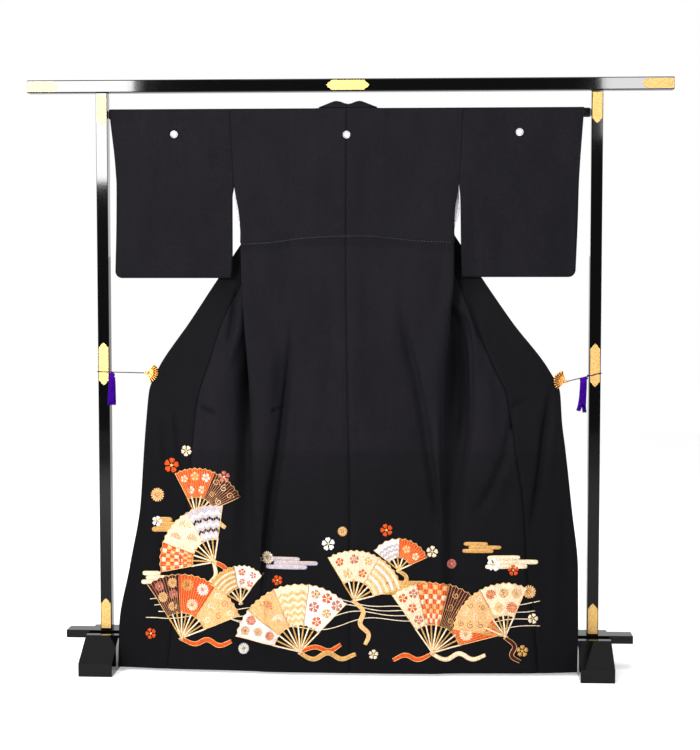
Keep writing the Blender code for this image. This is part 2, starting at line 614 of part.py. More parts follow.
def build_clip(side, name, collection, cutters):
    origin, inward, up, near = clip_frame(side)
    first, last = (math.radians(a) for a in CLIP[side]["angles"])
    stack = WALL + GAP + COLLAR_THICKNESS + CLIP_SLACK
    reach = stack / 2 + CLIP[side]["clearance"] + CLIP_WAVE + CLIP_SHEET / 2
    rows = []
    for facing, rings in ((1, CLIP_RINGS), (-1, CLIP_RINGS[::-1])):
        for ring in rings:
            row = []
            for k in range(2 * CLIP_FOLDS + 1):
                angle = first + (last - first) * k / (2 * CLIP_FOLDS)
                wave = CLIP_WAVE * ring * (1 if k % 2 else -1) * facing
                radius = CLIP_RADIUS * ring
                flat = inward * math.cos(angle) * radius + up * math.sin(angle) * radius
                row.append(np.array(origin + flat + near * (facing * reach + wave)))
            rows.append(row)
        if facing > 0:
            row = []
            for k in range(2 * CLIP_FOLDS + 1):
                angle = first + (last - first) * k / (2 * CLIP_FOLDS)
                flat = inward * math.cos(angle) + up * math.sin(angle)
                row.append(np.array(origin + flat * CLIP_PIN["inner"]))
            rows.append(row)
    mesh = wall_mesh(f"clip_{name}", rows, grid_normals(rows), CLIP_SHEET)
    clip = add_object(f"clip_{name}", mesh, "gilt_brass", collection)
    bm = bmesh.new()
    length = 2 * (reach + CLIP_SHEET)
    turn = near.to_track_quat("Z", "Y").to_matrix().to_4x4()
    bmesh.ops.create_cone(
        bm, cap_ends=True, segments=16, radius1=CLIP_PIN["radius"], radius2=CLIP_PIN["radius"],
        depth=length, matrix=Matrix.Translation(origin) @ turn,
    )
    pin = add_object(f"pin_{name}", mesh_from(f"pin_{name}", bm), "gilt_brass", cutters)
    pin.hide_render = True
    pin.display_type = "WIRE"
    join = clip.modifiers.new("pin", "BOOLEAN")
    join.operation = "UNION"
    join.object = pin


def cord_route(side, start, knot, heights):
    radius = CORD_DIAMETER / 2
    corner = EDGE_ROUND + radius + CORD_CLEARANCE
    half_width = POST_WIDTH / 2 - EDGE_ROUND
    half_depth = POST_DEPTH / 2 - EDGE_ROUND
    over_plate = GAP + PLATE_THICKNESS
    corners = (
        (half_width, -half_depth - over_plate, (-90, -45, 0)),
        (half_width, half_depth, (0, 45, 90)),
        (-half_width, half_depth, (90, 135, 180)),
    )
    around = [(side * POST_X - side * half_width, -half_depth - over_plate - corner)]
    for across, deep, angles in corners:
        for degrees in angles:
            angle = math.radians(degrees)
            x = side * (POST_X + across + corner * math.cos(angle))
            around.append((x, deep + corner * math.sin(angle)))
    around.append((side * (POST_X - half_width - corner - 0.0014), -0.002))
    around.append((knot[0] + side * 0.0035, knot[1] + 0.012))
    plan = [start] + around + [(knot[0] + side * 0.0006, knot[1] + 0.0035)]
    lengths = np.concatenate(([0], np.cumsum(np.linalg.norm(np.diff(plan, axis=0), axis=1))))
    marks = (0, lengths[2], lengths[8], lengths[-1])
    return [(x, y, float(np.interp(s, marks, heights))) for (x, y), s in zip(plan, lengths)]


def build_cord(name, side, start, knot, heights, collection):
    route = cord_route(side, start, knot, heights)
    points = [np.array(p) for p in route]
    ends = [2 * points[0] - points[1]] + points + [2 * points[-1] - points[-2]]
    dense = np.array([on_curve(ends, t) for t in np.linspace(0, len(points) - 1, 40 * len(points))])
    lengths = np.concatenate(([0], np.cumsum(np.linalg.norm(np.diff(dense, axis=0), axis=1))))
    marks = np.linspace(0, lengths[-1], int(round(lengths[-1] / CORD_SPACING)) + 1)
    line = [[float(np.interp(m, lengths, dense[:, axis])) for axis in range(3)] for m in marks]
    curve = bpy.data.curves.new(name, "CURVE")
    curve.dimensions = "3D"
    curve.bevel_depth = CORD_DIAMETER / 2
    curve.bevel_resolution = 2
    curve.use_fill_caps = True
    spline = curve.splines.new("POLY")
    spline.points.add(len(line) - 1)
    for target, place in zip(spline.points, line):
        target.co = (*place, 1)
    add_object(name, curve, "cord_silk", collection)


# Tassel: a bound head whose underside is drawn down into strands


def build_tassel(name, x, y, top, bottom, half_width, half_depth, lean, split, collection):
    bm = bmesh.new()
    head_bottom = top - TASSEL_HEAD_HEIGHT
    cells = TASSEL_CELLS
    bmesh.ops.create_grid(bm, x_segments=cells, y_segments=cells, size=1)
    for vert in bm.verts:
        u, v = vert.co.x, vert.co.y
        vert.co = (u * math.sqrt(1 - v * v / 2), v * math.sqrt(1 - u * u / 2), 0)
    cells_faces = list(bm.faces)
    rim = [e for e in bm.edges if e.is_boundary]
    for level, scale in TASSEL_HEAD[1:]:
        previous = scale if level == TASSEL_HEAD[1][0] else last_scale
        made = bmesh.ops.extrude_edge_only(bm, edges=rim)["geom"]
        verts = [g for g in made if isinstance(g, bmesh.types.BMVert)]
        rim = [g for g in made if isinstance(g, bmesh.types.BMEdge)]
        factor = scale / (1.0 if level == TASSEL_HEAD[1][0] else previous)
        for vert in verts:
            vert.co = (vert.co.x * factor, vert.co.y * factor, level)
        last_scale = scale
    bmesh.ops.contextual_create(bm, geom=rim)
    bmesh.ops.recalc_face_normals(bm, faces=bm.faces)
    inset = bmesh.ops.inset_individual(bm, faces=cells_faces, thickness=0.045)
    faces = cells_faces
    drop = (head_bottom - bottom) / TASSEL_STEPS
    for vert in bm.verts:
        vert.co = (vert.co.x * half_width, vert.co.y * half_depth, vert.co.z)
    for step in range(1, TASSEL_STEPS + 1):
        made = bmesh.ops.extrude_discrete_faces(bm, faces=faces)
        faces = made["faces"]
        for index, face in enumerate(faces):
            centre = face.calc_center_median()
            way = 1 if centre.x > 0 else -1
            sway = Vector((
                lean / TASSEL_STEPS + way * split * (step - 1) / TASSEL_STEPS,
                0.0,
                -drop * (1 + 0.025 * math.sin(2.3 * index + step)),
            ))
            bmesh.ops.translate(bm, verts=face.verts, vec=sway)
            grow = 1.05 if step == 1 else 0.97
            for vert in face.verts:
                vert.co.x = centre.x + sway.x + (vert.co.x - sway.x - centre.x) * grow
    bmesh.ops.translate(bm, verts=bm.verts, vec=(x, y, head_bottom))
    bmesh.ops.triangulate(bm, faces=[f for f in bm.faces if len(f.verts) > 4])
    add_object(name, mesh_from(name, bm), "purple_silk", collection)


# Stand


def build_box(name, low, high, rounding, collection, segments=2):
    bm = bmesh.new()
    bmesh.ops.create_cube(bm, size=1)
    for vert in bm.verts:
        vert.co = [a + (b - a) * (c + 0.5) for a, b, c in zip(low, high, vert.co)]
    thing = add_object(name, mesh_from(name, bm), "black_lacquer", collection)
    bevel = thing.modifiers.new("edges", "BEVEL")
    bevel.width = rounding
    bevel.segments = segments
    bevel.limit_method = "ANGLE"
    return thing


def outline_curve(name, outline, thickness, material, collection):
    curve = bpy.data.curves.new(name, "CURVE")
    curve.dimensions = "2D"
    curve.fill_mode = "BOTH"
    curve.extrude = thickness / 2
    spline = curve.splines.new("POLY")
    spline.points.add(len(outline) - 1)
    for target, (u, v) in zip(spline.points, outline):
        target.co = (u, v, 0, 1)
    spline.use_cyclic_u = True
    return add_object(name, curve, material, collection)


def build_stand(collection):
    half_bar, half_rail = TOP_BAR["half_length"], BOTTOM_RAIL["half_length"]
    bar_depth, rail_depth = TOP_BAR["depth"] / 2, BOTTOM_RAIL["depth"] / 2
    build_box(
        "top_bar", (-half_bar, -bar_depth, TOP_BAR["bottom"]), (half_bar, bar_depth, TOP_BAR["top"]),
        EDGE_ROUND * 2, collection,
    )
    build_box(
        "bottom_rail", (-half_rail, -rail_depth, BOTTOM_RAIL["bottom"]),
        (half_rail, rail_depth, BOTTOM_RAIL["top"]), EDGE_ROUND, collection,
    )
    inner_face = POST_X - POST_WIDTH / 2 - GAP
    build_box(
        "sleeve_rod", (-inner_face, -ROD["depth"] / 2, ROD["bottom"]), (inner_face, ROD["depth"] / 2, ROD["top"]),
        ROD["edge"], collection, 3,
    )
    notch_half = BOTTOM_RAIL["depth"] / 2 + GAP
    notch_floor = BOTTOM_RAIL["bottom"] - GAP
    half_outline = [
        (FOOT["half_depth"], 0), (FOOT["half_depth"], FOOT["end_height"]), (FOOT["flat_half"], FOOT["top"]),
        (notch_half, FOOT["top"]), (notch_half, notch_floor),
    ]
    outline = half_outline + [(-u, v) for u, v in reversed(half_outline)]
    for side, name in ((-1, "left"), (1, "right")):
        x = side * POST_X
        half_post, half_deep = POST_WIDTH / 2, POST_DEPTH / 2
        build_box(
            f"post_{name}", (x - half_post, -half_deep, BOTTOM_RAIL["top"] + GAP),
            (x + half_post, half_deep, TOP_BAR["bottom"] - GAP), EDGE_ROUND, collection,
        )
        foot = outline_curve(f"foot_{name}", outline, FOOT["width"], "black_lacquer", collection)
        foot.location = (x, 0, 0)
        foot.rotation_euler = (math.pi / 2, 0, math.pi / 2)


def plate_outline(width, length, pointed):
    half = length / 2
    first = [(u * width, -half + (0.55 - v) * width) for u, v in POINTED_END]
    last = [(u * width, half - (0.55 - v) * width) for u, v in POINTED_END]
    right = first[::-1] if pointed[0] else [(width / 2, -half)]
    right += last if pointed[1] else [(width / 2, half)]
    left = [(-u, v) for u, v in reversed(right) if u > 0]
    return right + left


def build_plates(collection):
    for name, x, z, width, length, upright, pointed in PLATES:
        plate = outline_curve(name, plate_outline(width, length, pointed), PLATE_THICKNESS, "gilt_brass", collection)
        face = POST_DEPTH / 2 if upright else TOP_BAR["depth"] / 2
        plate.location = (x, -face - GAP - PLATE_THICKNESS / 2, z)
        plate.rotation_euler = (math.pi / 2, 0, 0)
        if not upright:
            plate.rotation_euler = (math.pi / 2, math.pi / 2, 0)


def build_all():
    clear_scene()
    collection = make_collection("kurotomesode_on_stand")
    cutters = make_collection("cutters")
    build_stand(collection)
    build_plates(collection)
    for side, name in ((-1, "left"), (1, "right")):
        build_body(side, name, collection)
        build_sleeve(side, name, collection)
        build_lining(side, name, collection)
        build_clip(side, name, collection, cutters)
    build_collar(collection)
    for row in CORDS:
        build_cord(*row, collection)
    for row in TASSELS:
        build_tassel(*row, collection)


build_all()
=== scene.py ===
import json
import math

import bmesh
import bpy
import numpy as np
from mathutils import Matrix, Vector, geometry
from mathutils.bvhtree import BVHTree

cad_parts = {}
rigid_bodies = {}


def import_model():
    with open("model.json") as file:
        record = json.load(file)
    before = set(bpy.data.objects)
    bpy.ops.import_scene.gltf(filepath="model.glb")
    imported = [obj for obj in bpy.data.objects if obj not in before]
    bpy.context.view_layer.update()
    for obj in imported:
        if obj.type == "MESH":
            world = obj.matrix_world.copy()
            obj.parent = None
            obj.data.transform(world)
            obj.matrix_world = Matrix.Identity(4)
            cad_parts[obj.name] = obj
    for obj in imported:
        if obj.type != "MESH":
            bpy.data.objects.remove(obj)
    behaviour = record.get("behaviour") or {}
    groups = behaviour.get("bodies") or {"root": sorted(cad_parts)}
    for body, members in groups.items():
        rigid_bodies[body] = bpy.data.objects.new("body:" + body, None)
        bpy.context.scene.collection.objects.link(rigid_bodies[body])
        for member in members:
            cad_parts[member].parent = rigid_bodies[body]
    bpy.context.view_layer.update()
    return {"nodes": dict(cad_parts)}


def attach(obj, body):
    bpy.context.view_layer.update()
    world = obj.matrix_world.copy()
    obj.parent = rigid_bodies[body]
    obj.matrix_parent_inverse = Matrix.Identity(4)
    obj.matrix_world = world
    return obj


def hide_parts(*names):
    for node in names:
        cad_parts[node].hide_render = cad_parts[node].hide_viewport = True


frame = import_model()
print("frame loaded:", len(frame["nodes"]), "nodes")

# camera
cameraSetup = {
    "place": (0.2405, -4.567, 1.1287),
    "yaw": 0.0512,      # radians to the left
    "pitch": 0.0613,    # radians down
    "lens": 76.2,       # mm on a 36 mm tall sensor
}


def addCamera(setup):
    data = bpy.data.cameras.new("camera")
    data.sensor_fit = "VERTICAL"
    data.sensor_height = 36
    data.lens = setup["lens"]
    data.clip_start = 0.05
    data.clip_end = 60
    camera = bpy.data.objects.new("camera", data)
    camera.location = setup["place"]
    camera.rotation_euler = (math.pi / 2 - setup["pitch"], 0, setup["yaw"])
    bpy.context.scene.collection.objects.link(camera)
    bpy.context.scene.camera = camera


addCamera(cameraSetup)


# small helpers for materials: every finish is a node tree built here
def newMaterial(name, colour, roughness, metallic=0.0):
    material = bpy.data.materials.new(name)
    material.use_nodes = True
    shader = material.node_tree.nodes["Principled BSDF"]
    shader.inputs["Base Color"].default_value = (*colour, 1)
    shader.inputs["Roughness"].default_value = roughness
    shader.inputs["Metallic"].default_value = metallic
    return material, material.node_tree, shader


def addNode(tree, kind, values=(), **settings):
    node = tree.nodes.new(kind)
    for key, value in settings.items():
        setattr(node, key, value)
    for key, value in values:
        node.inputs[key].default_value = value
    return node


def objectCoords(tree, scale=(1, 1, 1)):
    coords = addNode(tree, "ShaderNodeTexCoord")
    mapping = addNode(tree, "ShaderNodeMapping", (("Scale", scale),))
    tree.links.new(coords.outputs["Object"], mapping.inputs["Vector"])
    return mapping.outputs["Vector"]


def objectParts(tree):
    coords = addNode(tree, "ShaderNodeTexCoord")
    parts = addNode(tree, "ShaderNodeSeparateXYZ")
    tree.links.new(coords.outputs["Object"], parts.inputs["Vector"])
    return parts.outputs


def addRamp(tree, factor, stops):
    ramp = addNode(tree, "ShaderNodeValToRGB")
    elements = ramp.color_ramp.elements
    while len(elements) < len(stops):
        elements.new(0.5)
    for element, (place, colour) in zip(elements, stops):
        element.position = place
        element.color = (*colour, 1)
    tree.links.new(factor, ramp.inputs["Fac"])
    return ramp.outputs["Color"]


def addBump(tree, shader, height, strength, distance):
    bump = addNode(tree, "ShaderNodeBump", (("Strength", strength), ("Distance", distance)))
    tree.links.new(height, bump.inputs["Height"])
    tree.links.new(bump.outputs["Normal"], shader.inputs["Normal"])


def noise(tree, vector, scale, detail=3.0, rough=0.55):
    node = addNode(tree, "ShaderNodeTexNoise", (("Scale", scale), ("Detail", detail), ("Roughness", rough)))
    tree.links.new(vector, node.inputs["Vector"])
    return node.outputs["Fac"]


# silk crepe: a fine grain of short upright ripples and slow clouds of tone
crepeWeave = {
    # noise per metre along x, y and z
    "cloud": (11, 11, 5), "ripple": (1300, 1300, 420), "rippleHeight": 0.0004,
    # the crepe's grain, then long faint streaks: noise per metre and the darkest tone
    "streaks": (((330, 330, 200), 0.40), ((60, 60, 4), 0.87)),
    "specular": 0.10, "sheenRoughness": 0.5,
}


def crepeMaterial(name, dark, light, roughness=0.9, sheen=0.0, grain=0.5, shadeBands=None):
    material, tree, shader = newMaterial(name, light, roughness)
    cloud = noise(tree, objectCoords(tree, crepeWeave["cloud"]), 1.0, 3.0)
    tone = addRamp(tree, cloud, ((0.30, dark), (0.70, light)))
    for scale, low in crepeWeave["streaks"]:
        streak = noise(tree, objectCoords(tree, scale), 1.0, 2.0, 0.7)
        thread = addRamp(tree, streak, ((0.30, (low, low, low)), (0.70, (1.0, 1.0, 1.0))))
        tone = multiplyColours(tree, tone, thread)
    if shadeBands:
        tone = multiplyColours(tree, tone, paintedShadeTone(tree, shadeBands))
    tree.links.new(tone, shader.inputs["Base Color"])
    shader.inputs["Sheen Weight"].default_value = sheen
    shader.inputs["Sheen Roughness"].default_value = crepeWeave["sheenRoughness"]
    shader.inputs["Specular IOR Level"].default_value = crepeWeave["specular"]
    ripple = noise(tree, objectCoords(tree, crepeWeave["ripple"]), 1.0, 2.0, 0.6)
    addBump(tree, shader, ripple, grain, crepeWeave["rippleHeight"])
    return material


def multiplyColours(tree, one, two):
    mix = addNode(tree, "ShaderNodeMix", data_type="RGBA", blend_type="MULTIPLY")
    mix.inputs[0].default_value = 1.0
    tree.links.new(one, mix.inputs[6])
    tree.links.new(two, mix.inputs[7])
    return mix.outputs[2]


def addMath(tree, operation, one, two):
    node = addNode(tree, "ShaderNodeMath", operation=operation)
    for socket, value in zip(node.inputs, (one, two)):
        if isinstance(value, (int, float)):
            socket.default_value = value
        else:
            tree.links.new(value, socket)
    return node.outputs[0]


# painted shade: soft bands of darker tone under the turned-in tuck, below the lining's edges low on the body,
# and towards the bottom
def paintedShadeTone(tree, shadeBands):
    parts = objectParts(tree)
    bow = addMath(tree, "MULTIPLY", parts["X"], 1 / shadeBands["tuckHalf"])
    bow = addMath(tree, "MULTIPLY", bow, bow)
    bow = addMath(tree, "MULTIPLY", bow, shadeBands["tuckRise"])
    below = addMath(tree, "ADD", parts["Z"], bow)    # height measured along the bowed tuck
    total = None
    for height, table in ((below, shadeBands["tuck"]), (parts["Z"], shadeBands["lower"])):
        low, high = table[0][0], table[-1][0]
        share = addMath(tree, "MULTIPLY", addMath(tree, "SUBTRACT", height, low), 1 / (high - low))
        stops = [((z - low) / (high - low), (tone, tone, tone)) for z, tone in table]
        ramp = addRamp(tree, share, stops)
        total = ramp if total is None else multiplyColours(tree, total, ramp)
    return total


crepeTones = {
    "dark": (0.0053, 0.0047, 0.0067), "light": (0.0076, 0.0067, 0.0096), "overlap": 0.52,
    # painted shade bands of the body crepe: darker under the tuck, below the lining's edges and towards the
    # bottom
    "shadeBands": {
        "tuckHalf": 0.31, "tuckRise": 0.0205,
        # height and tone, the first along the bowed tuck, the second level
        "tuck": ((1.205, 1.0), (1.217, 1.0), (1.220, 0.80), (1.2462, 0.80), (1.2475, 0.98), (1.300, 0.98)),
        "lower": ((0.20, 0.42), (0.34, 0.43), (0.42, 0.51), (0.549, 0.56), (0.553, 0.66), (0.631, 0.77),
                  (0.637, 1.0), (0.90, 1.04)),
    },
    # the same painted shade bands, milder, on the overlap panels
    "overlapLower": ((0.20, 0.67), (0.549, 0.65), (0.553, 0.73), (0.631, 0.79), (0.637, 0.97), (0.90, 1.0)),
}
# painted shade: the overlap panels take the same crepe at about half its tone
overlapShadedTone = [tuple(c * crepeTones["overlap"] for c in crepeTones[key]) for key in ("dark", "light")]
overlapShadeBands = {**crepeTones["shadeBands"], "lower": crepeTones["overlapLower"]}
finishes = {
    "crepe": crepeMaterial("crepe_black", crepeTones["dark"], crepeTones["light"]),
    "crepeOverlap": crepeMaterial("crepe_overlap_shaded", *overlapShadedTone, shadeBands=overlapShadeBands),
    "crepeBody": crepeMaterial(
        "crepe_body", crepeTones["dark"], crepeTones["light"], shadeBands=crepeTones["shadeBands"]
    ),
    "paleLining": crepeMaterial("lining_pale", (0.60, 0.56, 0.66), (0.70, 0.66, 0.74), 0.7, 0.2, 0.15),
    "stitch": crepeMaterial("basting_thread", (0.22, 0.22, 0.23), (0.34, 0.34, 0.35), 0.8, 0.2, 0.2),
    "crestWhite": crepeMaterial("crest_white", (0.80, 0.80, 0.80), (0.86, 0.86, 0.86), 0.75, 0.1, 0.3),
}


# the lining inside the body is pale above the knee and black below it
liningLook = {
    "line": (0.618, 0.622),    # height of the seam between the two
    "black": (0.005, 0.005, 0.006), "pale": (0.50, 0.46, 0.50), "base": (0.6, 0.56, 0.62),
    "weave": (900, 900, 900),
}


def bodyLining():
    look = liningLook
    material, tree, shader = newMaterial("lining_body", look["base"], 0.72)
    height = addNode(tree, "ShaderNodeMapRange", (("From Min", look["line"][0]), ("From Max", look["line"][1])))
    tree.links.new(objectParts(tree)["Z"], height.inputs["Value"])
    ramp = addRamp(tree, height.outputs["Result"], ((0.0, look["black"]), (1.0, look["pale"])))
    tree.links.new(ramp, shader.inputs["Base Color"])
    shader.inputs["Sheen Weight"].default_value = 0.2
    addBump(tree, shader, noise(tree, objectCoords(tree, look["weave"]), 1.0, 2.0), 0.15, 0.0003)
    return material


finishes["bodyLining"] = bodyLining()

lacquerLook = {
    "colour": (0.0008, 0.0008, 0.0010), "specular": 0.15,
    "roughness": (0.03, 0.07), "dust": (30, 30, 8),
    "wave": (14, 14, 5), "waveHeight": 0.002,    # hand-rubbed surface, hardly seen
}


def lacquerMaterial():
    look = lacquerLook
    low, high = look["roughness"]
    material, tree, shader = newMaterial("lacquer_black", look["colour"], (low + high) / 2)
    shader.inputs["Specular IOR Level"].default_value = look["specular"]
    rough = addNode(tree, "ShaderNodeMapRange", (("To Min", low), ("To Max", high)))
    tree.links.new(noise(tree, objectCoords(tree, look["dust"]), 1.0, 4.0), rough.inputs["Value"])
    tree.links.new(rough.outputs["Result"], shader.inputs["Roughness"])
    wave = noise(tree, objectCoords(tree, look["wave"]), 1.0, 2.0)
    addBump(tree, shader, wave, 0.02, look["waveHeight"])
    return material


def giltMaterial(name, dark, light, scale, strength, roughness):
    material, tree, shader = newMaterial(name, light, 0.30, 1.0)
    vector = objectCoords(tree)
    chased = addNode(tree, "ShaderNodeTexVoronoi", (("Scale", scale), ("Smoothness", 0.8)), feature="SMOOTH_F1")
    tree.links.new(vector, chased.inputs["Vector"])
    tone = addRamp(tree, chased.outputs["Distance"], ((0.10, dark), (0.50, light)))
    tree.links.new(tone, shader.inputs["Base Color"])
    wear = addNode(tree, "ShaderNodeMapRange", (("To Min", roughness[0]), ("To Max", roughness[1])))
    tree.links.new(noise(tree, vector, 260, 3.0), wear.inputs["Value"])
    tree.links.new(wear.outputs["Result"], shader.inputs["Roughness"])
    addBump(tree, shader, chased.outputs["Distance"], strength, 0.0005)
    return material


def threadMaterial(name, dark, light, roughness, twist=900):
    material, tree, shader = newMaterial(name, light, roughness)
    strand = noise(tree, objectCoords(tree, (700, 700, 60)), 1.0, 2.0)
    tree.links.new(addRamp(tree, strand, ((0.3, dark), (0.7, light))), shader.inputs["Base Color"])
    shader.inputs["Specular IOR Level"].default_value = 0.04
    ply = addNode(
        tree, "ShaderNodeTexWave", (("Scale", twist), ("Distortion", 1.5)), bands_direction="DIAGONAL"
    )
    tree.links.new(objectCoords(tree), ply.inputs["Vector"])
    addBump(tree, shader, ply.outputs["Fac"], 0.4, 0.0003)
    return material


giltTones = {
    # dark and light tone, cells per metre, depth of the chasing, roughness from and to
    "gilt": ("gilt_plate", (0.35, 0.18, 0.044), (0.60, 0.385, 0.14), 300, 0.45, (0.42, 0.54)),
    "giltClip": ("gilt_clip", (0.58, 0.27, 0.075), (0.72, 0.40, 0.13), 120, 0.1, (0.26, 0.38)),
    # a near-black gilt painted into the clip's fold valleys as shade
    "giltValleyShade": ("gilt_valley_shade", (0.10, 0.030, 0.006), (0.15, 0.050, 0.012), 120, 0.1, (0.4, 0.5)),
}
finishes["lacquer"] = lacquerMaterial()
for giltName, giltTone in giltTones.items():
    finishes[giltName] = giltMaterial(*giltTone)
finishes["tassel"] = threadMaterial("tassel_silk", (0.012, 0.0002, 0.08), (0.046, 0.0008, 0.26), 0.8)
finishes["cord"] = threadMaterial("cord_silk", (0.014, 0.002, 0.008), (0.050, 0.010, 0.030), 0.8, 700)


def finishObject(obj, materials, nodes=()):
    for key in materials:
        obj.data.materials.append(finishes[key])
    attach(obj, "root")
    if nodes:
        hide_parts(*nodes)
    return obj


def linkObject(name, data):
    obj = bpy.data.objects.new(name, data)
    bpy.context.scene.collection.objects.link(obj)
    return obj


def meshFrom(bm, name, smooth=True):
    mesh = bpy.data.meshes.new(name)
    bm.to_mesh(mesh)
    bm.free()
    if smooth:
        mesh.shade_smooth()
    return mesh


def joinRings(bm, rings, flip=False):
    count = len(rings[0])
    for one, two in zip(rings, rings[1:]):
        for k in range(count):
            corners = (one[k], one[(k + 1) % count], two[(k + 1) % count], two[k])
            bm.faces.new(corners[:1] + corners[:0:-1] if flip else corners)


def capRings(bm, rings, flip=False):
    bm.faces.new(rings[0] if flip else rings[0][::-1])
    bm.faces.new(rings[-1][::-1] if flip else rings[-1])


# smooth curve through points; the first and the last only steer it
tangentReach = 2.5    # longest tangent, as a multiple of the shorter chord beside it


def smoothCurve(points, stations):
    points = np.asarray(points, float)
    chords = np.maximum(np.linalg.norm(np.diff(points, axis=0), axis=1), 1e-6)
    steps = np.sqrt(chords)
    slopes = np.diff(points, axis=0) / steps[:, None]
    ways = slopes[:-1] * steps[1:, None] + slopes[1:] * steps[:-1, None]
    ways = ways / np.linalg.norm(ways, axis=1)[:, None]
    reach = tangentReach * np.minimum(chords[:-1], chords[1:])
    k = np.clip(np.floor(stations).astype(int), 0, len(points) - 4) + 1
    u = (np.asarray(stations) - (k - 1))[:, None]
    start = ways[k - 1] * np.minimum(chords[k], reach[k - 1])[:, None]
    end = ways[k] * np.minimum(chords[k], reach[k])[:, None]
    return (
        (2 * u**3 - 3 * u**2 + 1) * points[k]
        + (u**3 - 2 * u**2 + u) * start
        + (3 * u**2 - 2 * u**3) * points[k + 1]
        + (u**3 - u**2) * end
    )


# the same through all of the points, with mirrored ones to steer the ends
def curveThrough(points, stations):
    points = np.asarray(points, float)
    steered = np.vstack((2 * points[0] - points[1], points, 2 * points[-1] - points[-2]))
    return smoothCurve(steered, stations)


def runLengths(points):
    return np.concatenate(([0], np.cumsum(np.linalg.norm(np.diff(points, axis=0), axis=1))))


# cords
cordSizes = {
    "diameter": 0.0026, "spacing": 0.0042, "clearance": 0.0007,
    "postX": 0.707, "halfWidth": 0.015, "halfDepth": 0.016, "edge": 0.0015, "plate": 0.0013,
    "leave": (0.0014, -0.002),    # off the post's inner face, and the y where it leaves it
    "approach": ((0.0035, 0.0120), (0.0006, 0.0035)),    # outward of the knot and behind it
    # behind the knot and below it, where the cord runs on as the tassel's core
    "core": ((0.0004, 0.0030), (0.0, 0.0080), (0.0, 0.0200), (0.0, 0.0360), (0.0, 0.0520)),
    # side, start, knot, heights at the clip, the post's front edge, behind the post and the knot
    "cord_left": (-1, (-0.5846, -0.0128), (-0.6812, -0.0262), (0.8530, 0.8567, 0.8536, 0.8552)),
    "cord_right": (1, (0.6298, -0.0122), (0.6745, -0.0262), (0.8328, 0.8566, 0.8490, 0.8440)),
}


def cordRoute(side, start, knot, heights, sizes):
    corner = sizes["edge"] + sizes["diameter"] / 2 + sizes["clearance"]
    wide, deep, plate = sizes["halfWidth"], sizes["halfDepth"], sizes["plate"]
    plan = [start, (side * (sizes["postX"] - wide), -deep - plate - corner)]
    for across, along, angles in (
        (wide, -deep - plate, (-90, -45, 0)), (wide, deep, (0, 45, 90)), (-wide, deep, (90, 135, 180)),
    ):
        for degrees in angles:
            angle = math.radians(degrees)
            x = side * (sizes["postX"] + across + corner * math.cos(angle))
            plan.append((x, along + corner * math.sin(angle)))
    off, leaveY = sizes["leave"]
    plan.append((side * (sizes["postX"] - wide - corner - off), leaveY))
    plan += [(knot[0] + side * aside, knot[1] + back) for aside, back in sizes["approach"]]
    lengths = runLengths(plan)
    marks = (0, lengths[2], lengths[8], lengths[-1])
    route = [(x, y, np.interp(s, marks, heights)) for (x, y), s in zip(plan, lengths)]
    route += [(knot[0], knot[1] + back, heights[-1] - down) for back, down in sizes["core"]]
    dense = curveThrough(route, np.linspace(0, len(route) - 1, 40 * len(route)))
    lengths = runLengths(dense)
    marks = np.linspace(0, lengths[-1], int(round(lengths[-1] / sizes["spacing"])) + 1)
    return np.array([[np.interp(m, lengths, dense[:, axis]) for axis in range(3)] for m in marks]), lengths[-1]


def addCord(name, sizes):
    points, length = cordRoute(*sizes[name], sizes)
    curve = bpy.data.curves.new(name + "_silk", "CURVE")
    curve.dimensions = "3D"
    curve.bevel_depth = sizes["diameter"] / 2
    curve.bevel_resolution = 4
    curve.use_fill_caps = True
    spline = curve.splines.new("POLY")
    spline.points.add(len(points) - 1)
    for target, place in zip(spline.points, points):
        target.co = (*place, 1)
    cord = finishObject(linkObject(name + "_silk", curve), ["cord"], [name])


# tassels
tasselSizes = {
    # x, y, top, bottom, half width, half depth, lean, split
    "tassel_left": (-0.6812, -0.0262, 0.8546, 0.7600, 0.0118, 0.0078, -0.002, 0.001),
    "tassel_right": (0.6738, -0.0262, 0.8446, 0.7440, 0.0112, 0.0078, -0.005, 0.0036),
    "strands": 122, "strandRadius": 0.00095, "strandTip": 0.7, "strandSteps": 8, "neckDepth": 0.0135,
    "goldenAngle": 2.39996,    # radians from strand to strand, spreads them evenly
    "fill": (0.93, 0.90),      # share of the half width and the half depth that the strands take
    "uneven": 0.04, "shorter": 0.05, "sway": (0.0006, 0.0004),
    # spread under the neck, swell just below it, opening down to the ends, and how late the locks part
    "spread": {"loose": (0.74, 0.14, 0.16, 4), "tied": (0.90, 0.0, 0.12, 9)},
    "bow": ((-0.0105, -0.0032, 0.0042), (0.0112, 0.0012, 0.0040)),    # reach, rise and half height of each loop
    "bowRadius": 0.0015, "bowSteps": 12, "bowDrop": 0.0035,
    "link": ((0.0, 0.0, -0.003), (0.008, 0.0, 0.001)),
    "linkEnd": (0.6915, -0.0190, 0.8500), "linkRadius": 0.0017,
    "headSides": 32, "headRidges": 16, "headRidge": 0.02, "tiedHead": 0.84,
    # depth under the top and share of the half width of the bound head
    "head": ((0.0, 0.26), (0.0008, 0.44), (0.0025, 0.60), (0.0050, 0.68), (0.0080, 0.68), (0.0105, 0.60),
             (0.0118, 0.54), (0.0128, 0.60), (0.0138, 0.74), (0.0152, 0.80), (0.0165, 0.76)),
}


def addTube(bm, path, radii, sides):
    rings = []
    for i, (point, radius) in enumerate(zip(path, radii)):
        ahead = Vector(path[min(i + 1, len(path) - 1)]) - Vector(path[max(i - 1, 0)])
        turn = ahead.normalized().to_track_quat("Z", "Y").to_matrix()
        ring = []
        for k in range(sides):
            angle = 2 * math.pi * k / sides
            spot = turn @ Vector((radius * math.cos(angle), radius * math.sin(angle), 0))
            ring.append(bm.verts.new(Vector(point) + spot))
        rings.append(ring)
    joinRings(bm, rings)
    capRings(bm, rings)


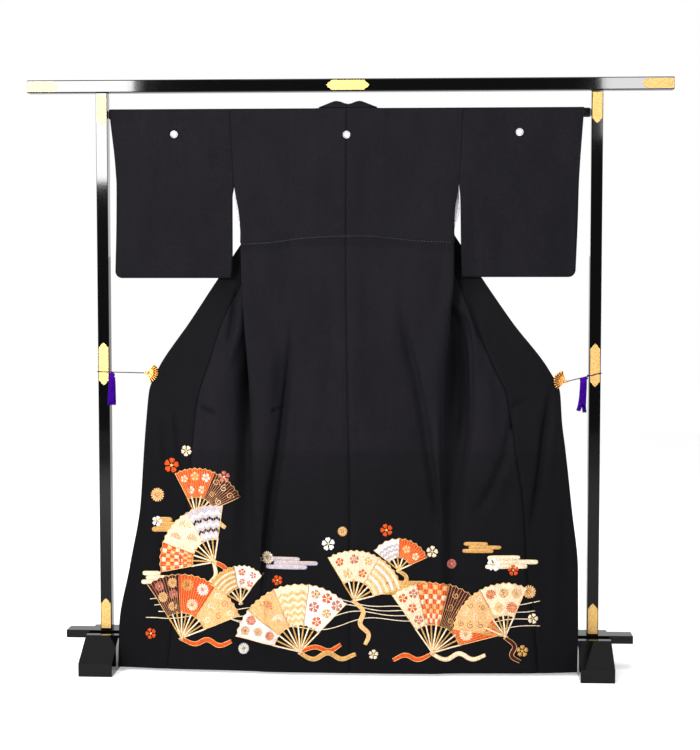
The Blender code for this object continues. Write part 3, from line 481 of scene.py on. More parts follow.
def addTassel(name, sizes):
    x, y, top, bottom, halfWidth, halfDepth, lean, split = sizes[name]
    bm = bmesh.new()
    rng = np.random.default_rng(7 if x < 0 else 11)
    neck = top - sizes["neckDepth"]
    tied = x > 0    # the right tassel hangs from a flat bow, its strands part only at the ends
    slim, swell, opening, late = sizes["spread"]["tied" if tied else "loose"]
    swayX, swayY = sizes["sway"]
    fillX, fillY = sizes["fill"]
    radii = [sizes["strandRadius"]] * (sizes["strandSteps"] - 1) + [sizes["strandRadius"] * sizes["strandTip"]]
    for i in range(sizes["strands"]):
        radius = math.sqrt((i + 0.5) / sizes["strands"])
        angle = i * sizes["goldenAngle"]
        u, v = radius * math.cos(angle), radius * math.sin(angle)
        way = 1 if u > 0 else -1
        shorter = sizes["shorter"] if tied and way < 0 else 0
        drop = (neck - bottom) * (1 + rng.uniform(-sizes["uneven"], 0.0) - shorter)
        path = []    # strands swell under the neck and gather again in two or three loose locks
        for t in np.linspace(0, 1, sizes["strandSteps"]):
            spread = slim + swell * min(1, t * 5) + opening * t
            lock = (lean * t**1.6 if t else 0) + way * split * t**late
            path.append((
                x + u * halfWidth * fillX * spread + lock + swayX * math.sin(6 * t + i) * t,
                y + v * halfDepth * fillY * spread + swayY * math.cos(5 * t + i) * t,
                neck - drop * t,
            ))
        addTube(bm, path, radii, 4)
    if tied:
        steps = sizes["bowSteps"]
        for reach, rise, half in sizes["bow"]:
            loop = []
            for k in range(steps + 1):
                turn = 2 * math.pi * k / steps
                out = 0.5 - 0.5 * math.cos(turn)
                height = top - sizes["bowDrop"] + rise * out + half * 0.5 * math.sin(turn)
                loop.append((x + reach * out, y - halfDepth * 0.5, height))
            addTube(bm, loop, [sizes["bowRadius"]] * (steps + 1), 10)
        link = [(x + a, y + b, top + c) for a, b, c in sizes["link"]] + [sizes["linkEnd"]]
        addTube(bm, link, [sizes["linkRadius"]] * 3, 10)
    rings = []
    for depth, width in sizes["head"]:
        width = max(width, sizes["tiedHead"]) if tied and depth > 0.001 else width
        ring = []
        for k in range(sizes["headSides"]):
            angle = 2 * math.pi * k / sizes["headSides"]
            reach = width * (1 + sizes["headRidge"] * math.cos(sizes["headRidges"] * angle))
            ring.append(bm.verts.new((
                x + halfWidth * reach * math.cos(angle), y + halfDepth * reach * math.sin(angle), top - depth,
            )))
        rings.append(ring)
    joinRings(bm, rings, flip=True)
    capRings(bm, rings, flip=True)
    bmesh.ops.recalc_face_normals(bm, faces=bm.faces)
    mesh = meshFrom(bm, name + "_silk")
    return finishObject(linkObject(name + "_silk", mesh), ["tassel"], [name])


bothSides = ((-1, "left"), (1, "right"))
for side, sideName in bothSides:
    tassel = addTassel("tassel_" + sideName, tasselSizes)
    addCord("cord_" + sideName, cordSizes)
print("cords and tassels done")

# cloth
# each column is one line's distance from the middle plane; the depth table holds the same lines' y
bodyLines = {
    "names": ("edge", "overlap", "turn", "fold", "frontSide", "backSide", "ridge", "trough"),
    "left": (
        (1.604, 0.0870, 0.0870, 0.093, 0.100, 0.3370, 0.3370, 0.300, 0.150),
        (1.500, 0.1306, 0.1306, 0.118, 0.110, 0.3320, 0.3320, 0.297, 0.150),
        (1.390, 0.2030, 0.2030, 0.170, 0.145, 0.3268, 0.3262, 0.292, 0.150),
        (1.320, 0.2490, 0.2300, 0.190, 0.154, 0.3205, 0.3135, 0.283, 0.150),
        (1.265, 0.2850, 0.2510, 0.205, 0.158, 0.3080, 0.3080, 0.275, 0.150),
        (1.120, 0.3810, 0.3065, 0.245, 0.184, 0.3040, 0.3040, 0.265, 0.150),
        (1.000, 0.4580, 0.3625, 0.308, 0.235, 0.2955, 0.2955, 0.255, 0.151),
        (0.865, 0.5490, 0.4050, 0.326, 0.266, 0.2820, 0.2820, 0.232, 0.161),
        (0.800, 0.5747, 0.4260, 0.328, 0.272, 0.2765, 0.2765, 0.224, 0.170),
        (0.720, 0.5815, 0.4385, 0.326, 0.277, 0.2715, 0.2715, 0.222, 0.178),
        (0.640, 0.5865, 0.4450, 0.322, 0.284, 0.2670, 0.2670, 0.226, 0.188),
        (0.470, 0.5965, 0.4590, 0.325, 0.283, 0.2590, 0.2590, 0.240, 0.219),
        (0.300, 0.6250, 0.4780, 0.330, 0.274, 0.2494, 0.2494, 0.240, 0.229),
        (0.130, 0.6540, 0.4985, 0.330, 0.272, 0.2486, 0.2486, 0.235, 0.215),
        (0.012, 0.6560, 0.5115, 0.330, 0.272, 0.2484, 0.2484, 0.232, 0.200),
    ),
    "right": (
        (1.604, 0.0840, 0.0840, 0.091, 0.098, 0.3285, 0.3285, 0.292, 0.150),
        (1.500, 0.1323, 0.1323, 0.120, 0.111, 0.3235, 0.3235, 0.290, 0.150),
        (1.390, 0.2090, 0.2090, 0.175, 0.145, 0.3178, 0.3175, 0.286, 0.150),
        (1.320, 0.2580, 0.2390, 0.195, 0.159, 0.3200, 0.3070, 0.277, 0.150),
        (1.265, 0.2967, 0.2627, 0.213, 0.162, 0.3050, 0.3050, 0.272, 0.150),
        (1.120, 0.3905, 0.3160, 0.256, 0.190, 0.3045, 0.3045, 0.268, 0.150),
        (1.000, 0.4732, 0.3655, 0.347, 0.306, 0.2890, 0.2890, 0.255, 0.160),
        (0.865, 0.5767, 0.4225, 0.361, 0.330, 0.2770, 0.2770, 0.252, 0.190),
        (0.800, 0.6085, 0.4548, 0.362, 0.332, 0.2743, 0.2743, 0.253, 0.203),
        (0.720, 0.6133, 0.4690, 0.363, 0.332, 0.2715, 0.2715, 0.256, 0.217),
        (0.640, 0.6230, 0.4805, 0.357, 0.323, 0.2706, 0.2706, 0.259, 0.229),
        (0.470, 0.6415, 0.5055, 0.345, 0.300, 0.2735, 0.2735, 0.264, 0.252),
        (0.300, 0.6585, 0.5145, 0.350, 0.298, 0.2784, 0.2784, 0.266, 0.250),
        (0.130, 0.6590, 0.5370, 0.352, 0.300, 0.2790, 0.2790, 0.262, 0.240),
        (0.012, 0.6560, 0.5474, 0.352, 0.302, 0.2793, 0.2793, 0.260, 0.230),
    ),
    "depthNames": ("centre", "trough", "ridge", "backSide", "frontSide", "fold", "turn", "overlap", "edge"),
    "depths": (
        (1.604, -0.0075, -0.0075, -0.0075, -0.0075, 0.0075, 0.0075, 0.0075, 0.0075, 0.0075),
        (1.580, -0.0078, -0.0078, -0.0077, -0.0075, 0.0075, 0.0076, 0.0080, 0.0082, 0.0082),
        (1.500, -0.0095, -0.0095, -0.0090, -0.0075, 0.0075, 0.0115, 0.0185, 0.0215, 0.0215),
        (1.390, -0.0125, -0.0125, -0.0110, -0.0075, 0.0075, 0.0170, 0.0275, 0.0290, 0.0290),
        (1.320, -0.0155, -0.0155, -0.0145, -0.0120, 0.0020, 0.0200, 0.0310, 0.0305, 0.0290),
        (1.265, -0.0180, -0.0180, -0.0185, -0.0165, -0.0165, 0.0225, 0.0430, 0.0390, 0.0275),
        (1.180, -0.0222, -0.0221, -0.0250, -0.0222, -0.0228, 0.0300, 0.0600, 0.0530, 0.0222),
        (1.120, -0.0255, -0.0250, -0.0300, -0.0260, -0.0260, 0.0340, 0.0420, 0.0270, 0.0170),
        (1.000, -0.0340, -0.0310, -0.0440, -0.0370, -0.0370, 0.0440, -0.0040, -0.0040, -0.0040),
        (0.865, -0.0455, -0.0385, -0.0580, -0.0470, -0.0470, 0.0400, -0.0350, -0.0270, -0.0130),
        (0.800, -0.0515, -0.0430, -0.0650, -0.0530, -0.0530, 0.0260, -0.0440, -0.0370, -0.0210),
        (0.720, -0.0590, -0.0505, -0.0740, -0.0620, -0.0620, 0.0000, -0.0540, -0.0480, -0.0310),
        (0.640, -0.0670, -0.0580, -0.0820, -0.0720, -0.0720, -0.0250, -0.0640, -0.0570, -0.0410),
        (0.470, -0.0870, -0.0790, -0.0980, -0.0920, -0.0920, -0.0660, -0.0840, -0.0730, -0.0580),
        (0.300, -0.1080, -0.1020, -0.1130, -0.1090, -0.1090, -0.0960, -0.1010, -0.0890, -0.0740),
        (0.130, -0.1310, -0.1270, -0.1310, -0.1270, -0.1270, -0.1210, -0.1200, -0.1070, -0.0910),
        (0.012, -0.1440, -0.1420, -0.1400, -0.1360, -0.1360, -0.1330, -0.1290, -0.1180, -0.1000),
    ),
    "centreSeam": ((1.604, -0.002), (1.250, -0.004), (0.780, 0.0034), (0.525, 0.0105), (0.012, 0.0139)),
    "overlapTip": 1.390, "overlapTop": 1.372, "sideSeamTop": 1.265,
    "seamFree": (0.0008, 0.0028),    # gap at which front and back start to part, and over which they do
    "overlapStart": 0.002,           # narrowest overlap that has a seam of its own
    "shoulder": 1.604, "shoulderRound": 0.0075, "hem": 0.012,
}


def tableAt(table, heights):
    rows = np.array(table)[::-1]
    knots, values = rows[:, 0], rows[:, 1:]
    steps = np.diff(knots)
    slopes = np.diff(values, axis=0) / steps[:, None]
    tangents = np.zeros_like(values)
    for i in range(1, len(knots) - 1):
        before, after = 2 * steps[i] + steps[i - 1], steps[i] + 2 * steps[i - 1]
        same = slopes[i - 1] * slopes[i] > 0
        tangents[i, same] = (before + after) / (before / slopes[i - 1, same] + after / slopes[i, same])
    tangents[0], tangents[-1] = slopes[0], slopes[-1]
    heights = np.clip(heights, knots[0], knots[-1])
    k = np.clip(np.searchsorted(knots, heights, side="right") - 1, 0, len(steps) - 1)
    u, step = ((heights - knots[k]) / steps[k])[:, None], steps[k][:, None]
    return (
        (2 * u**3 - 3 * u**2 + 1) * values[k] + (u**3 - 2 * u**2 + u) * step * tangents[k]
        + (3 * u**2 - 2 * u**3) * values[k + 1] + (u**3 - u**2) * step * tangents[k + 1]
    )


def smoothstep(value):
    value = np.clip(value, 0.0, 1.0)
    return value * value * (3 - 2 * value)


def sectionAt(side, height):
    heights = np.array([height])
    sideName = "left" if side < 0 else "right"
    across = tableAt(bodyLines[sideName], heights)[0]
    deep = dict(zip(bodyLines["depthNames"], tableAt(bodyLines["depths"], heights)[0]))
    places = {n: np.array((side * x, deep[n])) for n, x in zip(bodyLines["names"], across)}
    places["centre"] = np.array((tableAt(bodyLines["centreSeam"], heights)[0, 0], deep["centre"]))
    if height <= bodyLines["sideSeamTop"]:
        places["frontSide"] = places["backSide"]
    if height >= bodyLines["overlapTip"]:
        places["overlap"] = places["edge"]
    return places


# a point past the last one, which steers the end of a curve
def beyond(last, before):
    return 1.3 * last - 0.3 * before


# plan of the cloth at a height; stations run 0 centre, 1 trough, 2 ridge, 3 side seam,
# 4 deepest line of the fold, 5 outward turn, 6 overlap seam, 7 front edge
def planAt(side, height, stations, back):
    here, other = sectionAt(side, height), sectionAt(-side, height)
    gap = here["frontSide"][1] - here["backSide"][1]
    parting, parted = bodyLines["seamFree"]
    free = float(smoothstep((gap - parting) / parted))    # 1 above the side seam, where the two hang apart
    if back:
        tail = here["fold"] * (1 - free) + (2 * here["backSide"] - here["ridge"]) * free
        points = [other["trough"], here["centre"], here["trough"], here["ridge"], here["backSide"], tail]
        return smoothCurve(points, np.asarray(stations, float))
    head = here["ridge"] * (1 - free) + beyond(here["frontSide"], here["fold"]) * free
    points = [head, here["frontSide"], here["fold"], here["turn"], here["overlap"]]
    if np.linalg.norm(here["edge"] - here["overlap"]) > bodyLines["overlapStart"]:
        points += [here["edge"], beyond(here["edge"], here["overlap"])]
    else:
        points += [beyond(here["overlap"], here["turn"])]
    return smoothCurve(points, np.minimum(np.asarray(stations, float) - 3, len(points) - 3))


clothSizes = {
    "thickness": 0.0009,
    "rowStep": 0.0045,
    # parts of the way across: from and to station, and the number of steps
    "backStations": ((0, 1, 20), (1, 2, 22), (2, 3, 12)),
    "frontStations": ((3, 4, 24), (4, 5, 18), (5, 6, 14)),
    "overlapStations": ((6, 7, 28),),
    "tuckHeight": 1.2265, "tuckRise": 0.0205, "tuckHalf": 0.31, "tuckReach": 0.085,
    "tuckStep": 0.0015, "tuckFade": 0.030,
    "seamDip": 0.0020, "overlapDip": {"left": 0.0020, "right": 0.0034}, "seamWidth": 0.0032, "edgeFade": 0.013,
    "hemSwell": 0.0014, "hemSwellUp": 0.006, "hemSwellReach": 0.007,    # the padded edge of the hem
    "creaseGain": 1.6, "creaseTaper": 0.35, "creaseStart": 0.15,    # share of a crease's length that fades
    "ripples": 7, "rippleLengths": (0.05, 0.16), "rippleHeight": 0.0022, "rippleFade": 0.2,
    "neckHalf": 0.087, "neckRise": 0.0082, "neckBlend": (0.012, 0.030),
    "outward": (0.2, 0.5),    # how far cloth has to face out for creases to start, and until they are full
}

# soft troughs (minus) and ridges (plus): depth and half width in metres, then x, z along the crease
creases = {
    "back": (
        (-0.0120, 0.0095, ((-0.1560, 1.0300), (-0.1580, 0.9700), (-0.1620, 0.9157), (-0.1690, 0.8400),
                           (-0.1780, 0.7429), (-0.1940, 0.6200), (-0.2130, 0.5000), (-0.2270, 0.3714),
                           (-0.2380, 0.2600), (-0.2450, 0.1900), (-0.2520, 0.1200))),
        (0.0030, 0.018, ((-0.1950, 0.9500), (-0.2150, 0.8600), (-0.2280, 0.7500), (-0.2400, 0.6000))),
        (0.0026, 0.018, ((-0.1300, 0.9600), (-0.1500, 0.8300), (-0.1650, 0.6800), (-0.1850, 0.5000))),
        (-0.0034, 0.017, ((-0.1653, 0.2800), (-0.2000, 0.2000), (-0.2341, 0.1300))),
        (-0.0050, 0.005, ((-0.2180, 0.7460), (-0.1960, 0.7540), (-0.1746, 0.7600))),
        (0.0020, 0.008, ((-0.2090, 0.7720), (-0.1800, 0.7560))),
        (0.0022, 0.030, ((-0.0900, 1.1700), (-0.0830, 0.9800), (-0.0950, 0.7600), (-0.1050, 0.6200))),
        (-0.0022, 0.022, ((-0.0480, 1.1600), (-0.0430, 0.9500), (-0.0550, 0.7000))),
        (0.0014, 0.016, ((-0.0200, 1.1500), (-0.0180, 0.9000))),
        (-0.0100, 0.011, ((0.1480, 1.1000), (0.1537, 1.0533), (0.1620, 0.9900), (0.1769, 0.9223),
                          (0.1972, 0.8341), (0.2164, 0.7262), (0.2425, 0.5594), (0.2572, 0.4795),
                          (0.2725, 0.3500))),
        (0.0026, 0.016, ((0.1900, 1.0300), (0.2080, 0.9000), (0.2300, 0.7800))),
        (0.0024, 0.022, ((0.1180, 1.1000), (0.1350, 0.9300), (0.1650, 0.7600), (0.1950, 0.5600))),
        (-0.0020, 0.024, ((0.0600, 1.1500), (0.0560, 0.9200), (0.0800, 0.6800))),
        (0.0014, 0.014, ((0.0300, 1.1600), (0.0320, 0.9600))),
        (0.0018, 0.032, ((-0.1400, 0.4500), (-0.1550, 0.2800), (-0.1500, 0.0800))),
        (-0.0016, 0.030, ((0.1300, 0.3900), (0.1500, 0.2200), (0.1450, 0.0500))),
        (-0.0018, 0.016, ((-0.2850, 1.2050), (-0.2600, 1.1300), (-0.2450, 1.0400))),
        (-0.0018, 0.016, ((0.2850, 1.2050), (0.2600, 1.1200), (0.2500, 1.0300))),
        (-0.0012, 0.030, ((-0.2100, 1.4800), (-0.1700, 1.3600), (-0.1500, 1.2800))),
        (-0.0012, 0.030, ((0.2200, 1.4700), (0.1800, 1.3500), (0.1500, 1.2700))),
    ),
    "frontLeft": (
        (-0.0075, 0.008, ((-0.3180, 1.1100), (-0.3260, 1.0637), (-0.3360, 0.9900), (-0.3450, 0.9200))),
        (0.0085, 0.012, ((-0.2980, 1.1200), (-0.3070, 1.0400), (-0.3160, 0.9700), (-0.3460, 0.8600))),
        (-0.0085, 0.0050, ((-0.4300, 0.7660), (-0.4020, 0.7510), (-0.3700, 0.7380))),
        (0.0030, 0.016, ((-0.3950, 0.9000), (-0.3800, 0.8000), (-0.3700, 0.6500))),
        (-0.0034, 0.014, ((-0.4000, 0.7000), (-0.4050, 0.5500), (-0.4150, 0.4000))),
        (-0.0030, 0.008, ((-0.2863, 0.0962), (-0.2740, 0.0600), (-0.2626, 0.0325))),
        (0.0022, 0.020, ((-0.3700, 0.3600), (-0.3800, 0.2000), (-0.3850, 0.0600))),
        (-0.0045, 0.010, ((-0.4975, 0.7550), (-0.4880, 0.6700), (-0.4720, 0.5800))),
        (-0.0045, 0.010, ((-0.5330, 0.7400), (-0.5270, 0.6600), (-0.5188, 0.5800))),
        (0.0024, 0.012, ((-0.5140, 0.7800), (-0.5060, 0.6900), (-0.4950, 0.5700))),
        (0.0022, 0.020, ((-0.5500, 0.5200), (-0.5550, 0.3500), (-0.5700, 0.1500))),
        (-0.0020, 0.018, ((-0.5250, 0.4500), (-0.5350, 0.2800), (-0.5450, 0.1000))),
    ),
    "frontRight": (
        (-0.0055, 0.007, ((0.3320, 1.1100), (0.3400, 1.0758), (0.3590, 1.0200), (0.3770, 0.9700),
                          (0.3980, 0.9150))),
        (-0.0130, 0.0130, ((0.3320, 1.0300), (0.3390, 0.9500), (0.3430, 0.8400), (0.3400, 0.7300),
                           (0.3260, 0.6200))),
        (-0.0092, 0.009, ((0.4760, 0.7700), (0.4650, 0.6850), (0.4480, 0.6150), (0.4150, 0.5400),
                          (0.3841, 0.4822), (0.3544, 0.4400))),
        (0.0032, 0.013, ((0.4950, 0.6500), (0.4600, 0.5800), (0.4300, 0.5100), (0.4000, 0.4500))),
        (-0.0046, 0.012, ((0.5065, 0.3400), (0.4722, 0.3076), (0.4425, 0.2518), (0.4143, 0.2015),
                          (0.3900, 0.1600))),
        (-0.0042, 0.006, ((0.4600, 0.7560), (0.4900, 0.7720), (0.5190, 0.7833))),
        (0.0028, 0.018, ((0.4000, 0.8600), (0.4050, 0.7500), (0.4150, 0.6200))),
        (-0.0115, 0.009, ((0.5862, 0.8250), (0.5645, 0.6955), (0.5501, 0.5743), (0.5359, 0.4786),
                          (0.5217, 0.4000))),
        (0.0028, 0.013, ((0.6000, 0.7600), (0.5850, 0.6500), (0.5730, 0.5300))),
        (0.0022, 0.020, ((0.5900, 0.4200), (0.5950, 0.2500), (0.5900, 0.1000))),
        (-0.0024, 0.012, ((0.6150, 0.5000), (0.6200, 0.3800), (0.6250, 0.2500))),
    ),
}


def creaseDepth(x, z, rows):
    total = np.zeros_like(x)
    for depth, width, path in rows:
        path = np.array(path)
        lengths = runLengths(path)
        best = np.full(x.shape, np.inf)
        along = np.zeros_like(x)
        for (a, b, start) in zip(path[:-1], path[1:], lengths):
            way = b - a
            size = np.linalg.norm(way)
            t = np.clip(((x - a[0]) * way[0] + (z - a[1]) * way[1]) / size**2, 0, 1)
            away = np.hypot(x - a[0] - t * way[0], z - a[1] - t * way[1])
            nearer = away < best
            best = np.where(nearer, away, best)
            along = np.where(nearer, (start + t * size) / lengths[-1], along)
        fromEnd = np.minimum(along, 1 - along)
        taper = smoothstep(fromEnd / clothSizes["creaseTaper"] + clothSizes["creaseStart"])
        total += depth * taper * np.exp(-((best / width) ** 2))
    return total * clothSizes["creaseGain"]


# slow uneven ripples, so that no stretch of cloth is quite flat
def clothRipple(x, z, seed):
    rng = np.random.default_rng(seed)
    total = np.zeros_like(x)
    for _ in range(clothSizes["ripples"]):
        angle, phase = rng.uniform(-0.5, 0.5), rng.uniform(0, 6.28)
        length = rng.uniform(*clothSizes["rippleLengths"])
        total += np.sin(2 * math.pi * (x * math.cos(angle) + z * math.sin(angle)) / length + phase) * length
    return total * clothSizes["rippleHeight"]


def gridNormals(points):
    down, along = np.gradient(points, axis=0), np.gradient(points, axis=1)
    normals = np.cross(along, down)
    return normals / np.maximum(np.linalg.norm(normals, axis=2), 1e-9)[..., None]


def stationList(parts):
    places = [np.linspace(a, b, n, endpoint=False) for a, b, n in parts]
    return np.concatenate(places + [[parts[-1][1]]])


# distance of every point from the first and from the last column, along its row
def edgeDistances(points):
    gaps = np.linalg.norm(np.diff(points, axis=1), axis=2)
    fromFirst = np.hstack((np.zeros((len(points), 1)), np.cumsum(gaps, axis=1)))
    return fromFirst, fromFirst[:, -1:] - fromFirst


# creases die out at the side seam, so that the two pieces there share one line
def edgeFade(points, edges):
    fade = np.ones(points.shape[:2])
    for wanted, away in zip(edges, edgeDistances(points)):
        if wanted:
            fade *= smoothstep(away / clothSizes["edgeFade"])
    return fade


def hemSwell(z):
    up = z - bodyLines["hem"] - clothSizes["hemSwellUp"]
    return clothSizes["hemSwell"] * np.exp(-((up / clothSizes["hemSwellReach"]) ** 2))


def panelGrid(side, top, stations, back):
    rows = np.arange(top, bodyLines["hem"], -clothSizes["rowStep"])
    rows = np.append(rows, bodyLines["hem"])
    plans = [planAt(side, z, stations, back) for z in rows]
    points = np.array([np.column_stack((plan, np.full(len(plan), z))) for plan, z in zip(plans, rows)])
    normals = gridNormals(points) * -side
    return points, normals, rows


def tuckShape(points, normals, rows):
    sizes = clothSizes
    across = np.maximum(0, 1 - (points[..., 0] / sizes["tuckHalf"]) ** 2)
    near = smoothstep(1 - np.abs(rows - sizes["tuckHeight"]) / sizes["tuckReach"])[:, None]
    above = (rows - sizes["tuckHeight"])[:, None]
    step = np.where((above >= 0) & (above <= sizes["tuckFade"]), 1 - above / sizes["tuckFade"], 0)
    points = points + normals * (step * sizes["tuckStep"])[..., None]
    points[..., 2] += sizes["tuckRise"] * across * near
    return points


# rows that carry the cloth over the rod; the back of the neck stands up instead
def shoulderRows(points, normals, facing):
    first, firstNormals = points[0], normals[0]
    top, bend = bodyLines["shoulder"], bodyLines["shoulderRound"]
    wider, blend = clothSizes["neckBlend"]
    rows, rowNormals = [], []
    for degrees in range(90, 0, -10):
        angle = math.radians(degrees)
        over, overNormal = first.copy(), np.zeros_like(first)
        over[:, 1] = facing * bend * math.cos(angle)
        over[:, 2] = top + bend * math.sin(angle)
        overNormal[:, 1], overNormal[:, 2] = facing * math.cos(angle), math.sin(angle)
        overNormal *= np.sign(firstNormals[:, 1:2] * facing)
        if facing < 0:
            neck = smoothstep((clothSizes["neckHalf"] + wider - np.abs(first[:, 0])) / blend)[:, None]
            stand = first.copy()
            stand[:, 1] = -bend + clothSizes["thickness"] * degrees / 90
            stand[:, 2] = top + clothSizes["neckRise"] * degrees / 90
            over = over * (1 - neck) + stand * neck
            overNormal = overNormal * (1 - neck) + firstNormals * neck
        rows.append(over)
        rowNormals.append(overNormal / np.linalg.norm(overNormal, axis=1)[:, None])
    return np.vstack((np.array(rows), points)), np.vstack((np.array(rowNormals), normals))


# cloth turned in at a seam: the surface rolls under over the last few millimetres
def seamRoll(points, normals, edges, dip):
    total = np.zeros(points.shape[:2])
    for wanted, away in zip(edges, edgeDistances(points)):
        if wanted:
            total += np.exp(-((away / clothSizes["seamWidth"]) ** 2))
    return points - normals * (total * dip)[..., None]


def gridMesh(name, points, flip=False):
    rows, columns = points.shape[:2]
    mesh = bpy.data.meshes.new(name)
    index = np.arange(rows * columns).reshape(rows, columns)
    a, b, c, d = index[:-1, :-1], index[:-1, 1:], index[1:, 1:], index[1:, :-1]
    quads = np.stack((a, d, c, b) if flip else (a, b, c, d), axis=-1).reshape(-1, 4)
    mesh.from_pydata(points.reshape(-1, 3).tolist(), [], quads.tolist())
    mesh.update()
    mesh.shade_smooth()
    return mesh


def addShell(obj, thickness, lined, offset=0.0):
    shell = obj.modifiers.new("cloth", "SOLIDIFY")
    shell.thickness = thickness
    shell.offset = offset
    shell.use_even_offset = False
    if lined:
        shell.material_offset = 1


panels = {
    # edges where creases fade and edges that roll under, each first and last; ripples: seed and top
    "back": {"node": "back_", "outer": "crepeBody", "fade": (False, True), "roll": (True, False),
             "ripple": (3, 1.58)},
    "front": {"node": "front_", "outer": "crepeBody", "fade": (True, False), "roll": (False, True),
              "ripple": (5, 1.25)},
    "overlap": {"node": "okumi_", "outer": "crepeOverlap", "fade": (False, False), "roll": (True, False),
                "ripple": (5, 1.25)},
}


def buildPanel(kind, side, sideName):
    panel, back = panels[kind], kind == "back"
    top = bodyLines["overlapTop"] if kind == "overlap" else bodyLines["shoulder"]
    points, normals, rows = panelGrid(side, top, stationList(clothSizes[kind + "Stations"]), back)
    x, z = points[..., 0], points[..., 2]
    seed, rippleTop = panel["ripple"]
    push = creaseDepth(x, z, creases["back" if back else "front" + sideName.capitalize()])
    push += clothRipple(x, z, seed) * smoothstep((rippleTop - z) / clothSizes["rippleFade"]) + hemSwell(z)
    if not back:    # only where the cloth faces out, not inside the fold
        facing, full = clothSizes["outward"]
        push *= smoothstep((-normals[..., 1] - facing) / full)
    push *= edgeFade(points, panel["fade"])
    points = points + normals * push[..., None]
    if back:
        points = tuckShape(points, normals, rows)
    dip = clothSizes["seamDip"] if back else clothSizes["overlapDip"][sideName]
    points = seamRoll(points, normals, panel["roll"], dip)
    if kind != "overlap":
        points, normals = shoulderRows(points, normals, -1 if back else 1)
    node = panel["node"] + sideName
    mesh = gridMesh(node + "_cloth", points, flip=side > 0)
    obj = finishObject(linkObject(node + "_cloth", mesh), [panel["outer"], "bodyLining"], [node])
    addShell(obj, clothSizes["thickness"], True)


for side, sideName in bothSides:
    for kind in panels:
        buildPanel(kind, side, sideName)
print("body panels done")

# sleeves
sleeveSizes = {
    "armholeEnd": 1.395, "cuffEnd": 1.394, "half": 0.0075, "corner": 0.020, "seam": 0.0003,
    "bottom": {-1: 1.1275, 1: 1.1305},
    "inner": {
        -1: ((1.360, 0.3325), (1.190, 0.3330), (1.127, 0.3361)),
        1: ((1.360, 0.3215), (1.225, 0.3242), (1.127, 0.3275)),
    },
    "outer": {
        -1: ((1.612, 0.6870), (1.394, 0.6680), (1.300, 0.6690), (1.127, 0.6740)),
        1: ((1.612, 0.6710), (1.394, 0.6580), (1.300, 0.6560), (1.127, 0.6500)),
    },
    "columns": 56, "turnIn": (0.362, 0.646),
    "cornerSteps": (1, 0.85, 0.7, 0.56, 0.43, 0.32, 0.22, 0.14, 0.08, 0.035, 0.008, 0),
    "rim": (15, 30, 45, 60, 75),    # degrees round the lower and the upper fold
    "openRows": 52, "sewnRows": 42, "armhole": (1.604, 1.56, 1.50, 1.45, 1.395),
    "sewnStart": 0.004, "sewnBlend": 0.035,    # above the cuff's end, where the two layers part again
    # how far the armhole's edge lies under the body, how much flatter it is there, and its blend
    "tuckUnder": 0.0030, "tuckFlat": 0.20, "tuckBlend": 0.02, "weld": 0.00005,
    # ripples: from x, over the width and up to z; then how they fade at the top, hem, cuff and armhole
    "rippleArea": (0.33, 0.335, 1.575), "rippleFades": (0.12, 0.03, 0.02, 0.012),
    "rippleStretch": (0.8, 0.35), "rippleGain": 1.3,
}


def sleeveInner(side, heights):
    table = []
    for z in sleeveSizes["armhole"]:
        places = sectionAt(side, z)
        table.append((z, max(abs(places["frontSide"][0]), abs(places["backSide"][0])) + sleeveSizes["seam"]))
    return tableAt(tuple(table) + sleeveSizes["inner"][side], heights)[:, 0]


